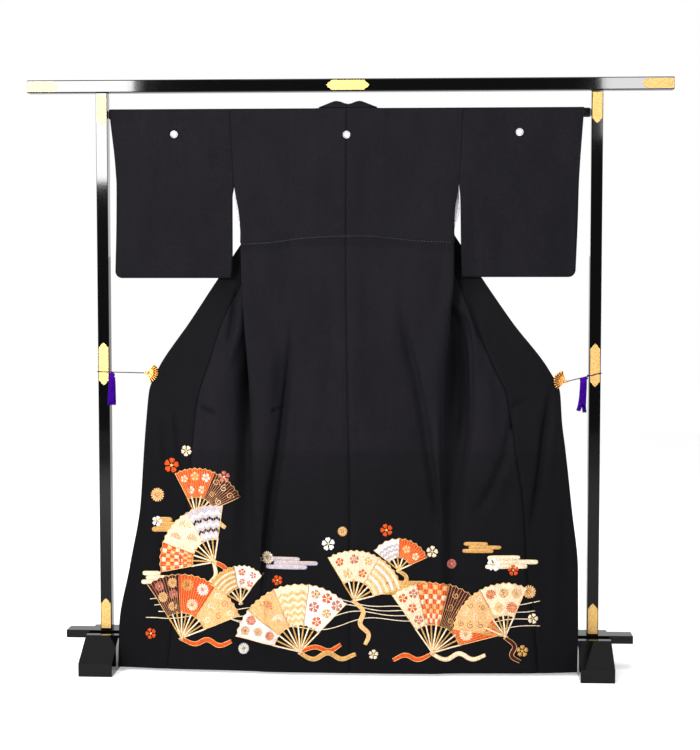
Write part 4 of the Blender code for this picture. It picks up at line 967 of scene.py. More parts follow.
def buildSleeve(side, sideName):
    sizes = sleeveSizes
    half, corner, bottom, top = sizes["half"], sizes["corner"], sizes["bottom"][side], bodyLines["shoulder"]
    steps = [1.0] * (sizes["columns"] - 1) + list(sizes["cornerSteps"])
    shares = list(np.linspace(0, 1, sizes["columns"] - 1, endpoint=False)) + [1.0] * len(sizes["cornerSteps"])
    rim = [(math.sin(math.radians(a)), math.cos(math.radians(a))) for a in sizes["rim"]]
    loops = []
    for step, share in zip(steps, shares):
        out = corner * (1 - step)
        low = bottom + corner - math.sqrt(max(corner**2 - out**2, 0))
        close = math.sqrt(max(1 - max(0.0, (half - corner * step) / half) ** 2, 0)) if step else 0.0
        rows = [(half * close * sine, low + half * close * (1 - cosine)) for sine, cosine in rim]
        openStart = low + half * close
        rows += [(half * close, z) for z in np.linspace(openStart, sizes["cuffEnd"], sizes["openRows"])]
        for z in np.linspace(sizes["cuffEnd"] + sizes["sewnStart"], top, sizes["sewnRows"]):
            wide = float(smoothstep((z - sizes["cuffEnd"]) / sizes["sewnBlend"]))
            rows.append((half * max(close, wide), z))
        rows += [(half * cosine, top + half * sine) for sine, cosine in rim]
        profile = [(0.0, low)] + [(-y, z) for y, z in rows] + [(0.0, top + half)]
        profile = np.array(profile + rows[::-1])
        inner = sleeveInner(side, profile[:, 1])
        outer = tableAt(sizes["outer"][side], profile[:, 1])[:, 0]
        x = inner + (outer - corner - inner) * share + (corner * (1 - step) if share == 1.0 else 0)
        if share == 0.0:    # seam allowance that lies under the body's edge above the underarm
            sewn = smoothstep((profile[:, 1] - sizes["armholeEnd"]) / sizes["tuckBlend"])
            x = x - sizes["tuckUnder"] * sewn
            profile[:, 0] *= 1 - sizes["tuckFlat"] * sewn
        loops.append(np.column_stack((x * side, profile)))
    points = np.array(loops)
    x, z = points[..., 0], points[..., 2]
    innerX, wholeWidth, highest = sizes["rippleArea"]
    atTop, atHem, atCuff, atArmhole = sizes["rippleFades"]
    width = np.abs(x) - innerX    # from the armhole outward
    window = smoothstep((highest - z) / atTop) * smoothstep((z - bottom) / atHem)
    window = window * smoothstep((wholeWidth - width) / atCuff) * smoothstep(width / atArmhole)
    stretchX, stretchZ = sizes["rippleStretch"]
    points[..., 1] += clothRipple(x * stretchX, z * stretchZ, 9 + side) * sizes["rippleGain"] * window
    closed = np.concatenate((points, points[:, :1]), axis=1)
    name = "sleeve_" + sideName
    mesh = gridMesh(name + "_cloth", closed, flip=side < 0)
    bm = bmesh.new()
    bm.from_mesh(mesh)
    bmesh.ops.remove_doubles(bm, verts=bm.verts, dist=sizes["weld"])
    bmesh.ops.recalc_face_normals(bm, faces=bm.faces)
    for face in bm.faces:    # cloth turned in along the open inner edge and the cuff
        reach = abs(face.calc_center_median().x)
        face.material_index = 0 if sizes["turnIn"][0] < reach < sizes["turnIn"][1] else 2
    bm.to_mesh(mesh)
    bm.free()
    mesh.shade_smooth()
    obj = finishObject(
        linkObject(name + "_cloth", mesh), ["crepe", "paleLining", "crepe", "crepe"], [name]
    )
    addShell(obj, clothSizes["thickness"], True)


for side, sideName in bothSides:
    buildSleeve(side, sideName)
print("sleeves done")

# collar
collarSizes = {
    "thickness": 0.003, "width": 0.050, "slant": 34, "seam": 1.290, "end": 0.842, "gap": 0.0003, "wall": 0.002,
    "lift": (0.0005, 0.0014, 0.0022, 0.0022, 0.0020),
    "neck": (
        ((0.034, -0.0066, 1.6136), (0.033, 0.0025, 1.6315), (0.029, 0.0215, 1.6060)),
        ((0.062, -0.0060, 1.6138), (0.055, 0.0045, 1.6245), (0.044, 0.0225, 1.6000)),
        ((0.078, -0.0020, 1.6152), (0.067, 0.0085, 1.6180), (0.049, 0.0235, 1.5940)),
        ((0.0840, 0.0085, 1.6142), (0.070, 0.0150, 1.6040), (0.049, 0.0240, 1.5850)),
        ((0.0880, 0.0130, 1.5900), (0.070, 0.0175, 1.5800), (0.047, 0.0230, 1.5680)),
    ),
    "middle": ((0.001, -0.0066, 1.6136), (0.002, 0.0010, 1.6225), (0.001, 0.0185, 1.6020)),
    "top": 1.545, "insets": (0.0011, 0.0003),    # extra columns that keep the folded edges round
    "columns": (0, 0.25, 0.5, 0.75, 1), "leastSlope": 0.75,
}


def collarRow(side, height):
    sizes = collarSizes
    stations = np.linspace(4.5, 6 if height >= bodyLines["overlapTip"] else 7, 60)
    layer = planAt(side, height, stations, False)
    fresh = np.append(True, np.linalg.norm(np.diff(layer, axis=0), axis=1) > 1e-7)
    layer = layer[fresh]
    ways = np.gradient(layer, axis=0)
    facing = np.abs(ways[:, 0]) / np.linalg.norm(ways, axis=1)
    out = layer[:, 0] * side
    row = []
    for share, lift in zip(sizes["columns"], sizes["lift"]):
        x = out[-1] - sizes["width"] / math.cos(math.radians(sizes["slant"])) * share
        slope = max(float(np.interp(x, out, facing)), sizes["leastSlope"])
        reach = (sizes["wall"] / 2 + sizes["gap"] + sizes["thickness"] / 2 + lift) / slope
        row.append((x * side, float(np.interp(x, out, layer[:, 1])) + reach, height))
    return np.array(row)


def neckRow(three, side):
    three = np.array([(side * p[0] if side else p[0], p[1], p[2]) for p in three])
    return curveThrough(three, np.array((0, 0.5, 1, 1.5, 2)))


def refineGrid(points, down, across):
    points = np.array(points)
    rows, columns = points.shape[:2]
    finer = np.linspace(0, rows - 1, (rows - 1) * down + 1)
    points = np.array([curveThrough(points[:, j], finer) for j in range(columns)])
    finer = np.linspace(0, columns - 1, (columns - 1) * across + 1)
    return np.array([curveThrough(line, finer) for line in np.transpose(points, (1, 0, 2))])


# a padded band from its middle surface: two skins and rounded edges as closed loops
def bandMesh(name, points, thickness):
    normals = gridNormals(points)
    edge = np.minimum(*edgeDistances(points))
    half = thickness / 2
    swell = np.sqrt(np.clip(1 - (1 - np.clip(edge / half, 0, 1)) ** 2, 0, 1)) * half
    outer = points + normals * swell[..., None]
    inner = points - normals * swell[..., None]
    loops = np.concatenate((outer, inner[:, -2:0:-1]), axis=1)
    bm = bmesh.new()
    rings = [[bm.verts.new(p) for p in loop] for loop in loops]
    joinRings(bm, rings)
    capRings(bm, rings)
    bmesh.ops.recalc_face_normals(bm, faces=bm.faces)
    return meshFrom(bm, name)


def edgeInset(points, amount):
    columns = [points[:, :1], points[:, 1:-1], points[:, -1:]]
    for place, edge, beside in ((1, 0, 1), (3, -1, -2)):
        way = points[:, beside] - points[:, edge]
        unit = way / np.linalg.norm(way, axis=1)[:, None]
        columns.insert(place, (points[:, edge] + unit * amount)[:, None])
    return np.concatenate(columns, axis=1)


def addBand(name, rows, down):
    grid = refineGrid(rows, down, 5)
    for amount in collarSizes["insets"]:
        grid = edgeInset(grid, amount)
    mesh = bandMesh(name + "_band", grid, collarSizes["thickness"])
    return finishObject(linkObject(name + "_band", mesh), ["crepe"], [name])


def buildCollar(sizes):
    heights = np.linspace(sizes["seam"], sizes["top"], 22)
    rows = [collarRow(-1, z) for z in heights]
    rows += [neckRow(three, -1) for three in reversed(sizes["neck"])]
    rows.append(neckRow(sizes["middle"], 0))
    rows += [neckRow(three, 1) for three in sizes["neck"]]
    rows += [collarRow(1, z) for z in heights[::-1]]
    band = addBand("collar_neck", rows, 3)
    for side, sideName in bothSides:
        rows = [collarRow(side, z) for z in np.linspace(sizes["seam"], sizes["end"], 40)]
        band = addBand("collar_" + sideName, rows, 2)


buildCollar(collarSizes)
print("collar done")

# lining at the armpits
liningSizes = {"rows": (1.395, 1.290), "stations": (3.0, 3.12), "thickness": 0.0006, "gap": 0.0009}


def buildLining(side, sideName):
    heights = np.linspace(*liningSizes["rows"], 22)
    stations = np.linspace(*liningSizes["stations"], 6)
    plans = [planAt(side, z, stations, False) for z in heights]
    points = np.array([np.column_stack((plan, np.full(len(plan), z))) for plan, z in zip(plans, heights)])
    normals = gridNormals(points)
    normals *= np.where(normals[..., 1:2] < 0, 1, -1)
    points = points + normals * liningSizes["gap"]
    name = "lining_" + sideName
    mesh = gridMesh(name + "_silk", points)
    obj = finishObject(linkObject(name + "_silk", mesh), ["paleLining"], [name])
    addShell(obj, liningSizes["thickness"], False)


for side, sideName in bothSides:
    buildLining(side, sideName)
print("lining done")


# the whole outer cloth as one surface that stitches, crests and the hem design are laid on
def clothSurface():
    graph = bpy.context.evaluated_depsgraph_get()
    verts, faces = [], []
    for obj in bpy.data.objects:
        if obj.type == "MESH" and obj.name.endswith("_cloth"):
            mesh = obj.evaluated_get(graph).to_mesh()
            start = len(verts)
            verts += [obj.matrix_world @ v.co for v in mesh.vertices]
            faces += [[start + k for k in p.vertices] for p in mesh.polygons]
            obj.evaluated_get(graph).to_mesh_clear()
    return BVHTree.FromPolygons(verts, faces)


rayStart = 0.6    # metres before or behind the stand


def hitCloth(x, z, facing=-1):
    start, way = Vector((x, facing * rayStart, z)), Vector((0, -facing, 0))
    place, normal = surface.ray_cast(start, way, 2 * rayStart)[:2]
    if place is None:
        return None, None
    if normal.y * facing < 0:
        normal = -normal
    return place, normal


bpy.context.view_layer.update()
surface = clothSurface()

# white basting along the tuck, through the points x, z of its path
stitchSizes = {
    "path": ((-0.306, 1.2246), (-0.223, 1.2286), (-0.151, 1.2388), (-0.080, 1.2444), (-0.004, 1.2472),
             (0.062, 1.2471), (0.147, 1.2384), (0.2045, 1.2327), (0.298, 1.2297)),
    "pitch": 0.0088, "uneven": 0.0007, "length": 0.0026, "radius": 0.00028, "lift": 0.0003,
    # share of the stitch and how deep it dives into the cloth there
    "sink": ((0, -0.0006), (0.25, 0), (0.75, 0), (1, -0.0006)),
}


def buildStitches(sizes):
    dense = curveThrough(sizes["path"], np.linspace(0, len(sizes["path"]) - 1, 400))
    lengths = runLengths(dense)
    rng = np.random.default_rng(4)
    bm = bmesh.new()
    for start in np.arange(0, lengths[-1] - sizes["length"], sizes["pitch"]):
        start += rng.uniform(-sizes["uneven"], sizes["uneven"])
        spots = []
        for share, sink in sizes["sink"]:
            at = start + share * sizes["length"]
            x, z = np.interp(at, lengths, dense[:, 0]), np.interp(at, lengths, dense[:, 1])
            place, normal = hitCloth(x, z)
            if place is not None:
                spots.append(place + normal * (sizes["lift"] + sink))
        if len(spots) == len(sizes["sink"]):
            addTube(bm, spots, [sizes["radius"]] * len(spots), 5)
    mesh = meshFrom(bm, "basting_stitches")
    finishObject(linkObject("basting_stitches", mesh), ["stitch"])


buildStitches(stitchSizes)
print("stitches done")

# hem design: open fans, blossoms, pine, mist and a stream, all traditional figures
designTones = {    # sRGB of the silk threads and dyes
    "vermilion": (222, 84, 30), "white": (244, 242, 238), "cream": (248, 226, 194), "peach": (240, 186, 128),
    "ochre": (212, 160, 90), "maroon": (72, 24, 28), "grey": (196, 188, 200), "rose": (202, 112, 104),
    "night": (38, 30, 40),
}


def toLinear(colour):
    return tuple((c / 255 / 12.92) if c <= 10 else ((c / 255 + 0.055) / 1.055) ** 2.4 for c in colour)


def designMaterial(name, colour):
    base = toLinear(colour)
    return crepeMaterial("design_" + name, tuple(0.80 * c for c in base), base, 0.82, 0.0, 0.4)


for toneName, tone in designTones.items():
    finishes["design_" + toneName] = designMaterial(toneName, tone)
finishes["design_gold"] = giltMaterial(
    "design_gold", (0.55, 0.33, 0.12), (0.72, 0.47, 0.20), 700, 0.2, (0.42, 0.6)
)
goldLine = 0.0011


def polar(centre, radius, degrees):
    angle = math.radians(degrees)
    return (centre[0] + radius * math.cos(angle), centre[1] + radius * math.sin(angle))


def mixed(a, b, share):
    return a + (b - a) * share


def lineStrip(points, width, taper=0.0):
    points = np.array(points, float)
    ways = np.gradient(points, axis=0)
    aside = np.column_stack((-ways[:, 1], ways[:, 0])) / np.linalg.norm(ways, axis=1)[:, None]
    shares = np.linspace(0, 1, len(points))
    half = width / 2 * (1 - taper * np.abs(2 * shares - 1) ** 2)[:, None]
    return np.vstack((points + aside * half, (points - aside * half)[::-1])).tolist()


def discShape(centre, radius, count=12):
    return [polar(centre, radius, 360 * k / count) for k in range(count)]


# outlines of one petal: share of the radius and degrees off its middle, or share of the half width
petalLines = {
    "blossom": ((0.16, 0), (0.45, -24), (0.72, -31), (0.92, -22), (1.0, -9), (0.90, 0), (1.0, 9), (0.92, 22),
                (0.72, 31), (0.45, 24)),
    "chrysanthemum": ((0.26, -0.9), (0.80, -1), (0.95, -0.6), (1.0, 0), (0.95, 0.6), (0.80, 1), (0.26, 0.9)),
    "pine": ((0.20, -5), (1.0, -4.5), (1.0, 4.5), (0.20, 5)),
}


# every figure adds its outlines to a list as (colour, level, points)
def blossom(out, level, centre, radius, turn, petal, heart):
    for k in range(5):
        points = [polar(centre, radius * r, turn + 72 * k + a) for r, a in petalLines["blossom"]]
        out.append((petal, level, points))
    out.append((heart, level + 1, discShape(centre, radius * 0.20, 8)))


def chrysanthemum(out, level, centre, radius, turn, petal, heart, count=14):
    half = 150 / count
    for k in range(count):
        angle = turn + 360 * k / count
        points = [polar(centre, radius * r, angle + a * half) for r, a in petalLines["chrysanthemum"]]
        out.append((petal, level, points))
    out.append((heart, level + 1, discShape(centre, radius * 0.24, 9)))


def pineSprig(out, level, centre, radius, turn, needle, heart):
    for k in range(9):
        angle = turn - 84 + 21 * k
        out.append((needle, level, [polar(centre, radius * r, angle + a) for r, a in petalLines["pine"]]))
    out.append((heart, level + 1, discShape(centre, radius * 0.13, 8)))


def scroll(out, level, centre, radius, turn, thread):
    steps = np.linspace(0, 1, 20)
    spiral = [polar(centre, radius * (1 - 0.80 * t), turn + 470 * t) for t in steps]
    out.append((thread, level, lineStrip(spiral, radius * 0.20, 0.4)))
    out.append((thread, level, discShape(polar(centre, radius * 1.18, turn - 14), radius * 0.20, 7)))


def arcBand(centre, inner, outer, first, last, steps, ripple=0.0):
    angles = np.linspace(first, last, steps + 1)
    top = [polar(centre, outer + ripple * (k % 2), a) for k, a in enumerate(angles)]
    low = [polar(centre, inner + ripple * (k % 2), a) for k, a in enumerate(angles)]
    return top + low[::-1]


# figures are set out on staggered rings inside a zone, so that each fits whole
def zoneSpots(pivot, inner, outer, first, last, size, rng):
    spots = []
    rings = max(1, int((outer - inner) / (size * 2.05)))
    for i in range(rings):
        radius = inner + (outer - inner) * (i + 0.5) / rings
        across = math.degrees(size * 2.1 / radius)
        count = max(1, int((last - first) / across))
        for k in range(count):
            share = (k + (0.5 if i % 2 else 0.42)) / count
            spot = polar(pivot, radius + rng.uniform(-0.1, 0.1) * size, mixed(first, last, share))
            spots.append((spot, i + k))
    return spots


def fillZone(out, level, pivot, inner, outer, first, last, figure, rng):
    kind, size, colours = figure
    deep, spread = outer - inner, last - first
    if kind in ("mum", "cherry", "scroll", "pine"):
        for spot, index in zoneSpots(pivot, inner, outer, first, last, size, rng):
            colour = colours[index % len(colours)]
            heart = "ochre" if colour != "ochre" else "vermilion"
            turn, scale = rng.uniform(0, 90), size * rng.uniform(0.82, 1.0)
            if kind == "mum":
                chrysanthemum(out, level, spot, scale, turn, colour, heart)
            elif kind == "cherry":
                blossom(out, level, spot, scale, turn, colour, heart)
            elif kind == "pine":
                pineSprig(out, level, spot, scale, 60 + turn / 2, colour, heart)
            else:
                scroll(out, level, spot, scale * 0.8, turn * 4, colour)
    elif kind in ("stripe", "zigzag"):
        bent = kind == "zigzag"
        count = int(deep / size)
        steps = 2 * int(spread / 9) if bent else int(spread / 4)
        for k in range(0, count - 1 if bent else count, 2):
            low = inner + deep * k / count
            band = arcBand(pivot, low, low + deep / count, first, last, steps, size * 0.9 if bent else 0.0)
            out.append((colours[(k // 2) % len(colours)], level, band))
    elif kind == "check":
        rings, cells = int(deep / size), int(math.radians(spread) * outer / size)
        wide = spread / cells
        for i in range(rings):
            low, colour = inner + deep * i / rings, colours[(i // 2) % len(colours)]
            for k in range(cells):
                if (i + k) % 2:
                    start = first + wide * k
                    cell = arcBand(pivot, low, low + deep / rings, start, first + wide * (k + 1), 1)
                    out.append((colour, level, cell))


# pivot x and z, radius, first and last angle, level, number of folds, then the zones:
# share of the spread, ground, figure with its size and colours
fans = {
    "left": (
        ((-0.430, 0.446), 0.138, 24, 118, 0, 14, (
            (0.0, 0.46, "maroon", ("scroll", 0.013, ("cream", "peach"))),
            (0.46, 1.0, "vermilion", ("cherry", 0.013, ("cream", "white", "peach"))))),
        ((-0.376, 0.318), 0.162, 82, 192, 4, 16, (
            (0.0, 0.36, "grey", ("zigzag", 0.0075, ("white", "night"))),
            (0.36, 0.72, "cream", ("pine", 0.019, ("vermilion", "ochre"))),
            (0.72, 1.0, "vermilion", ("check", 0.012, ("peach", "cream"))))),
        ((-0.470, 0.100), 0.182, 22, 124, 8, 18, (
            (0.0, 0.34, "peach", ("scroll", 0.014, ("white", "vermilion"))),
            (0.34, 0.70, "vermilion", ("mum", 0.019, ("cream", "white", "ochre"))),
            (0.70, 1.0, "maroon", ("mum", 0.015, ("peach", "rose"))))),
        ((-0.300, 0.205), 0.104, 52, 150, 12, 11, (
            (0.0, 0.5, "white", ("cherry", 0.011, ("vermilion", "rose"))),
            (0.5, 1.0, "ochre", ("stripe", 0.006, ("cream",))))),
    ),
    "middle": (
        ((-0.128, 0.070), 0.190, 46, 168, 4, 20, (
            (0.0, 0.30, "white", ("cherry", 0.016, ("vermilion", "ochre", "rose"))),
            (0.30, 0.56, "cream", ("zigzag", 0.009, ("peach",))),
            (0.56, 0.80, "peach", ("pine", 0.021, ("white", "vermilion"))),
            (0.80, 1.0, "white", ("mum", 0.015, ("vermilion", "ochre"))))),
        ((0.024, 0.214), 0.142, 14, 122, 0, 15, (
            (0.0, 0.42, "peach", ("stripe", 0.008, ("cream", "white"))),
            (0.42, 1.0, "cream", ("cherry", 0.015, ("vermilion", "peach", "rose"))))),
    ),
    "right": (
        ((0.246, 0.072), 0.196, 14, 126, 4, 20, (
            (0.0, 0.30, "vermilion", ("mum", 0.020, ("cream", "ochre", "white"))),
            (0.30, 0.55, "maroon", ("scroll", 0.014, ("ochre", "peach"))),
            (0.55, 0.80, "vermilion", ("check", 0.013, ("cream", "peach"))),
            (0.80, 1.0, "cream", ("cherry", 0.015, ("rose", "vermilion"))))),
        ((0.452, 0.116), 0.150, 66, 172, 8, 15, (
            (0.0, 0.5, "cream", ("mum", 0.016, ("vermilion", "peach", "ochre"))),
            (0.5, 1.0, "peach", ("scroll", 0.012, ("white", "maroon"))))),
        ((0.150, 0.300), 0.090, 24, 142, 0, 10, (
            (0.0, 0.55, "vermilion", ("cherry", 0.012, ("cream", "peach"))),
            (0.55, 1.0, "white", ("zigzag", 0.006, ("grey",))))),
    ),
}
fanSizes = {
    "leaf": 0.40,    # where the leaf starts, as a share of the radius
    "stick": 0.0042, "zigzag": 0.0045, "outline": 0.0013, "rivet": 0.0046, "margin": 0.002,
}


def addFan(out, fan, rng):
    pivot, radius, first, last, level, folds, zones = fan
    inner = radius * fanSizes["leaf"]
    zigzag, outline, margin = fanSizes["zigzag"], fanSizes["outline"], fanSizes["margin"]

    def goldRay(reach, degrees, width):
        ray = [polar(pivot, r, degrees) for r in (inner, (inner + radius) / 2, reach)]
        out.append(("gold", level + 3, lineStrip(ray, width)))

    for k in range(folds // 2 + 1):
        angle = mixed(first, last, k / (folds // 2))
        stick = [polar(pivot, r, angle) for r in (-0.008, inner * 0.5, inner + 0.004)]
        out.append((("cream", "ochre")[k % 2], level, lineStrip(stick, fanSizes["stick"])))
    for share, end, ground, figure in zones:
        a, b = mixed(first, last, share), mixed(first, last, end)
        angles = np.linspace(a, b, max(2, 2 * round(folds * (end - share))) + 1)
        top = [polar(pivot, radius - zigzag * (k % 2), t) for k, t in enumerate(angles)]
        low = [polar(pivot, inner - zigzag * 0.5 * (k % 2), t) for k, t in enumerate(angles)]
        out.append((ground, level, top + low[::-1]))
        out.append(("gold", level + 3, lineStrip(top, outline)))
        out.append(("gold", level + 3, lineStrip(low, outline)))
        for edge in (a, b):
            goldRay(radius, edge, outline * 1.2)
        for fold in angles[1:-1]:
            goldRay(radius - margin, fold, outline * 0.45)
        gap = math.degrees(margin / radius)
        fillZone(out, level + 1, pivot, inner + 0.003, radius - zigzag - margin, a + gap, b - gap, figure, rng)
    out.append(("gold", level + 1, discShape(pivot, fanSizes["rivet"], 10)))


# ribbons, loose blossoms, mist and stream: colour, level, then what each needs
looseFigures = {
    "ribbons": (
        ("vermilion", 1, 0.013, (
            (-0.385, 0.322), (-0.345, 0.300), (-0.330, 0.255), (-0.352, 0.215), (-0.335, 0.180))),
        ("cream", 2, 0.011, ((-0.378, 0.316), (-0.372, 0.280), (-0.392, 0.250), (-0.380, 0.220))),
        ("peach", 1, 0.012, ((-0.430, 0.440), (-0.400, 0.425), (-0.372, 0.432), (-0.345, 0.415))),
        ("vermilion", 1, 0.013, (
            (-0.470, 0.098), (-0.430, 0.085), (-0.395, 0.098), (-0.360, 0.082), (-0.325, 0.095))),
        ("ochre", 2, 0.012, (
            (-0.128, 0.066), (-0.090, 0.050), (-0.050, 0.068), (-0.010, 0.052), (0.030, 0.066))),
        ("vermilion", 1, 0.012, ((-0.128, 0.070), (-0.085, 0.084), (-0.045, 0.074), (-0.012, 0.092))),
        ("peach", 1, 0.012, ((0.024, 0.212), (0.050, 0.185), (0.042, 0.150), (0.066, 0.120), (0.056, 0.092))),
        ("cream", 1, 0.012, ((0.246, 0.068), (0.285, 0.052), (0.322, 0.068), (0.360, 0.052), (0.396, 0.064))),
        ("vermilion", 2, 0.012, ((0.240, 0.066), (0.205, 0.052), (0.170, 0.064), (0.135, 0.050))),
        ("maroon", 9, 0.012, ((0.452, 0.112), (0.478, 0.088), (0.470, 0.062), (0.494, 0.045))),
        ("ochre", 1, 0.010, ((0.150, 0.298), (0.172, 0.280), (0.166, 0.252), (0.184, 0.234))),
    ),
    "blossoms": (
        ("vermilion", (-0.505, 0.590), 0.022, 10), ("cream", (-0.462, 0.632), 0.016, 50),
        ("peach", (-0.545, 0.505), 0.020, 30), ("white", (-0.545, 0.430), 0.015, 0),
        ("rose", (-0.350, 0.560), 0.017, 20), ("cream", (-0.225, 0.330), 0.018, 15),
        ("vermilion", (-0.195, 0.268), 0.015, 40), ("white", (-0.050, 0.372), 0.019, 25),
        ("peach", (-0.010, 0.408), 0.014, 5), ("vermilion", (0.115, 0.412), 0.018, 35),
        ("cream", (0.245, 0.352), 0.017, 12), ("rose", (0.300, 0.318), 0.014, 44),
        ("white", (0.420, 0.318), 0.020, 8), ("vermilion", (0.475, 0.300), 0.016, 22),
        ("peach", (0.520, 0.240), 0.019, 31), ("cream", (0.530, 0.165), 0.015, 3),
        ("ochre", (0.500, 0.075), 0.017, 17), ("white", (-0.290, 0.075), 0.016, 27),
        ("cream", (0.080, 0.065), 0.014, 14), ("vermilion", (-0.560, 0.110), 0.016, 38),
    ),
    "mist": (
        ("ochre", (-0.560, 0.400), (0.090, 0.022)), ("cream", (-0.590, 0.250), (0.085, 0.020)),
        ("grey", (-0.230, 0.300), (0.150, 0.018)), ("ochre", (0.100, 0.232), (0.200, 0.020)),
        ("cream", (0.395, 0.305), (0.150, 0.020)), ("ochre", (0.330, 0.350), (0.110, 0.016)),
    ),
    "mistBars": ((0.0, 0.80), (0.16, 0.84), (0.04, 0.62)),    # shift and length, as shares of the width
    "mistRound": 0.31,    # end radius and half height of a bar, as a share of the height
    # the stream's lines: colour, width, count, rise from line to line, height and ends of the lowest
    "stream": ("cream", 0.0022, 4, 0.016, 0.150, (-0.575, 0.550)),
    "streamWaves": ((0.016, 11, 0.6), (0.007, 29, 1)),    # height, radians per metre, shift per line
}


def mistBand(out, colour, corner, size):
    wide, tall = size
    x, z = corner
    half = tall * looseFigures["mistRound"]
    for k, (shift, share) in enumerate(looseFigures["mistBars"]):
        low, start, length = z + k * 2 * half, x + wide * shift, wide * share
        left = [polar((start + half, low + half), half, a) for a in range(90, 271, 30)]
        right = [polar((start + length - half, low + half), half, a) for a in range(-90, 91, 30)]
        out.append((colour, 0, left + right))
        out.append(("gold", 1, lineStrip([left[0], right[-1]], goldLine)))


def addLoose(out, low, high):
    for colour, level, width, points in looseFigures["ribbons"]:
        if low <= points[0][0] < high:
            dense = curveThrough(points, np.linspace(0, len(points) - 1, 8 * len(points)))
            ribbon = lineStrip(dense, width, 0.25)
            out.append((colour, level, ribbon))
            for rim in (ribbon[len(dense):], ribbon[:len(dense)]):
                out.append(("gold", level + 1, lineStrip(rim, goldLine)))
    for k, (colour, centre, radius, turn) in enumerate(looseFigures["blossoms"]):
        if low <= centre[0] < high:
            if k % 3 == 2:
                chrysanthemum(out, 2, centre, radius, turn, colour, "ochre", 16)
            else:
                blossom(out, 2, centre, radius, turn, colour, "gold")
    for colour, corner, size in looseFigures["mist"]:
        if low <= corner[0] < high:
            mistBand(out, colour, corner, size)
    colour, width, count, gap, height, (first, last) = looseFigures["stream"]
    waves = looseFigures["streamWaves"]
    for k in range(count):    # each line starts and ends a little elsewhere
        start, end = max(low, first + 0.012 * (k * 3 % 4)), min(high, last - 0.014 * (k * 2 % 3))
        path = []
        for x in np.linspace(start, end, 60):
            wave = sum(high * math.sin(turn * x + shift * k) for high, turn, shift in waves)
            path.append((x, height + gap * k + wave))
        out.append((colour, 0, lineStrip(path, width)))


designSizes = {
    "lift": 0.0005, "step": 0.00013, "thickness": 0.00010,    # lowest level off the cloth, level to level
    "spacing": 0.0065, "behind": 0.01, "jump": 0.012,    # a patch doesn't bridge two layers of cloth
    # seed of the draws, and from and to x, of each part
    "areas": {"left": (5, -0.60, -0.235), "middle": (6, -0.235, 0.095), "right": (8, 0.095, 0.57)},
}


def layPatch(bm, polygon, lift, index):
    spacing = designSizes["spacing"]
    ring = []
    for a, b in zip(polygon, polygon[1:] + polygon[:1]):
        count = max(1, int(math.hypot(b[0] - a[0], b[1] - a[1]) / spacing + 0.3))
        ring += [(a[0] + (b[0] - a[0]) * k / count, a[1] + (b[1] - a[1]) * k / count) for k in range(count)]
    spots = [Vector(p) for p in ring]
    low, high = np.min(ring, axis=0), np.max(ring, axis=0)
    for x in np.arange(low[0] + spacing, high[0], spacing):
        for z in np.arange(low[1] + spacing, high[1], spacing):
            spots.append(Vector((x, z)))
    flat = geometry.delaunay_2d_cdt(spots, [], [list(range(len(ring)))], 1, 1e-6)
    verts = []
    for spot in flat[0]:
        place, normal = hitCloth(spot.x, spot.y)
        seen = place is not None and place.y < designSizes["behind"]
        verts.append(bm.verts.new(place + normal * lift) if seen else None)
    for face in flat[2]:
        corners = [verts[k] for k in face]
        if None in corners:
            continue
        depths = [v.co.y for v in corners]
        if max(depths) - min(depths) < designSizes["jump"]:
            bm.faces.new(corners).material_index = index


def buildDesign(area, seed, low, high):
    out = []
    addLoose(out, low, high)
    rng = np.random.default_rng(seed)
    for fan in fans[area]:
        addFan(out, fan, rng)
    keys = sorted({colour for colour, _, _ in out})
    bm = bmesh.new()
    for colour, level, polygon in out:
        lift = designSizes["lift"] + level * designSizes["step"]
        layPatch(bm, [tuple(map(float, p)) for p in polygon], lift, keys.index(colour))
    loose = [v for v in bm.verts if not v.link_faces]
    bmesh.ops.delete(bm, geom=loose, context="VERTS")
    for face in bm.faces:
        face.normal_update()
        if face.normal.y > 0:
            face.normal_flip()
    obj = linkObject("design_" + area, meshFrom(bm, "design_" + area))
    finishObject(obj, ["design_" + key for key in keys])
    addShell(obj, designSizes["thickness"], False, 1.0)
    print("design", area, len(obj.data.polygons), "faces")


for area, areaSizes in designSizes["areas"].items():
    buildDesign(area, *areaSizes)

# five white roundels: a plain ring about a disc
crestSizes = {
    # x, z and -1 behind or 1 on the breast
    "spots": ((-0.499, 1.539, -1), (-0.003, 1.536, -1), (0.489, 1.541, -1),
              (-0.190, 1.500, 1), (0.190, 1.500, 1)),
    # radii of the ring, and of the disc and the loop that fills it
    "circles": ((0.0104, 0.0088), (0.0071, 0.00355)),
    "lift": 0.0006, "thickness": 0.0002, "points": 36,
}


def buildCrests(sizes):
    bm = bmesh.new()
    for x, z, facing in sizes["spots"]:
        for radii in sizes["circles"]:
            rings = []
            for radius in radii:
                ring = []
                for k in range(sizes["points"]):
                    spot = polar((x, z), radius, 360 / sizes["points"] * k)
                    place, normal = hitCloth(*spot, facing)
                    ring.append(bm.verts.new(place + normal * sizes["lift"]))
                rings.append(ring)
            joinRings(bm, rings)
            if radii == sizes["circles"][1]:
                bm.faces.new(rings[1])
    bmesh.ops.recalc_face_normals(bm, faces=bm.faces)
    for face in bm.faces:
        if face.normal.y * (-1 if face.calc_center_median().y < 0 else 1) < 0:
            face.normal_flip()
    mesh = meshFrom(bm, "crests", smooth=False)
    obj = finishObject(linkObject("crests", mesh), ["crestWhite"])
    addShell(obj, sizes["thickness"], False, 1.0)


buildCrests(crestSizes)
print("crests done")

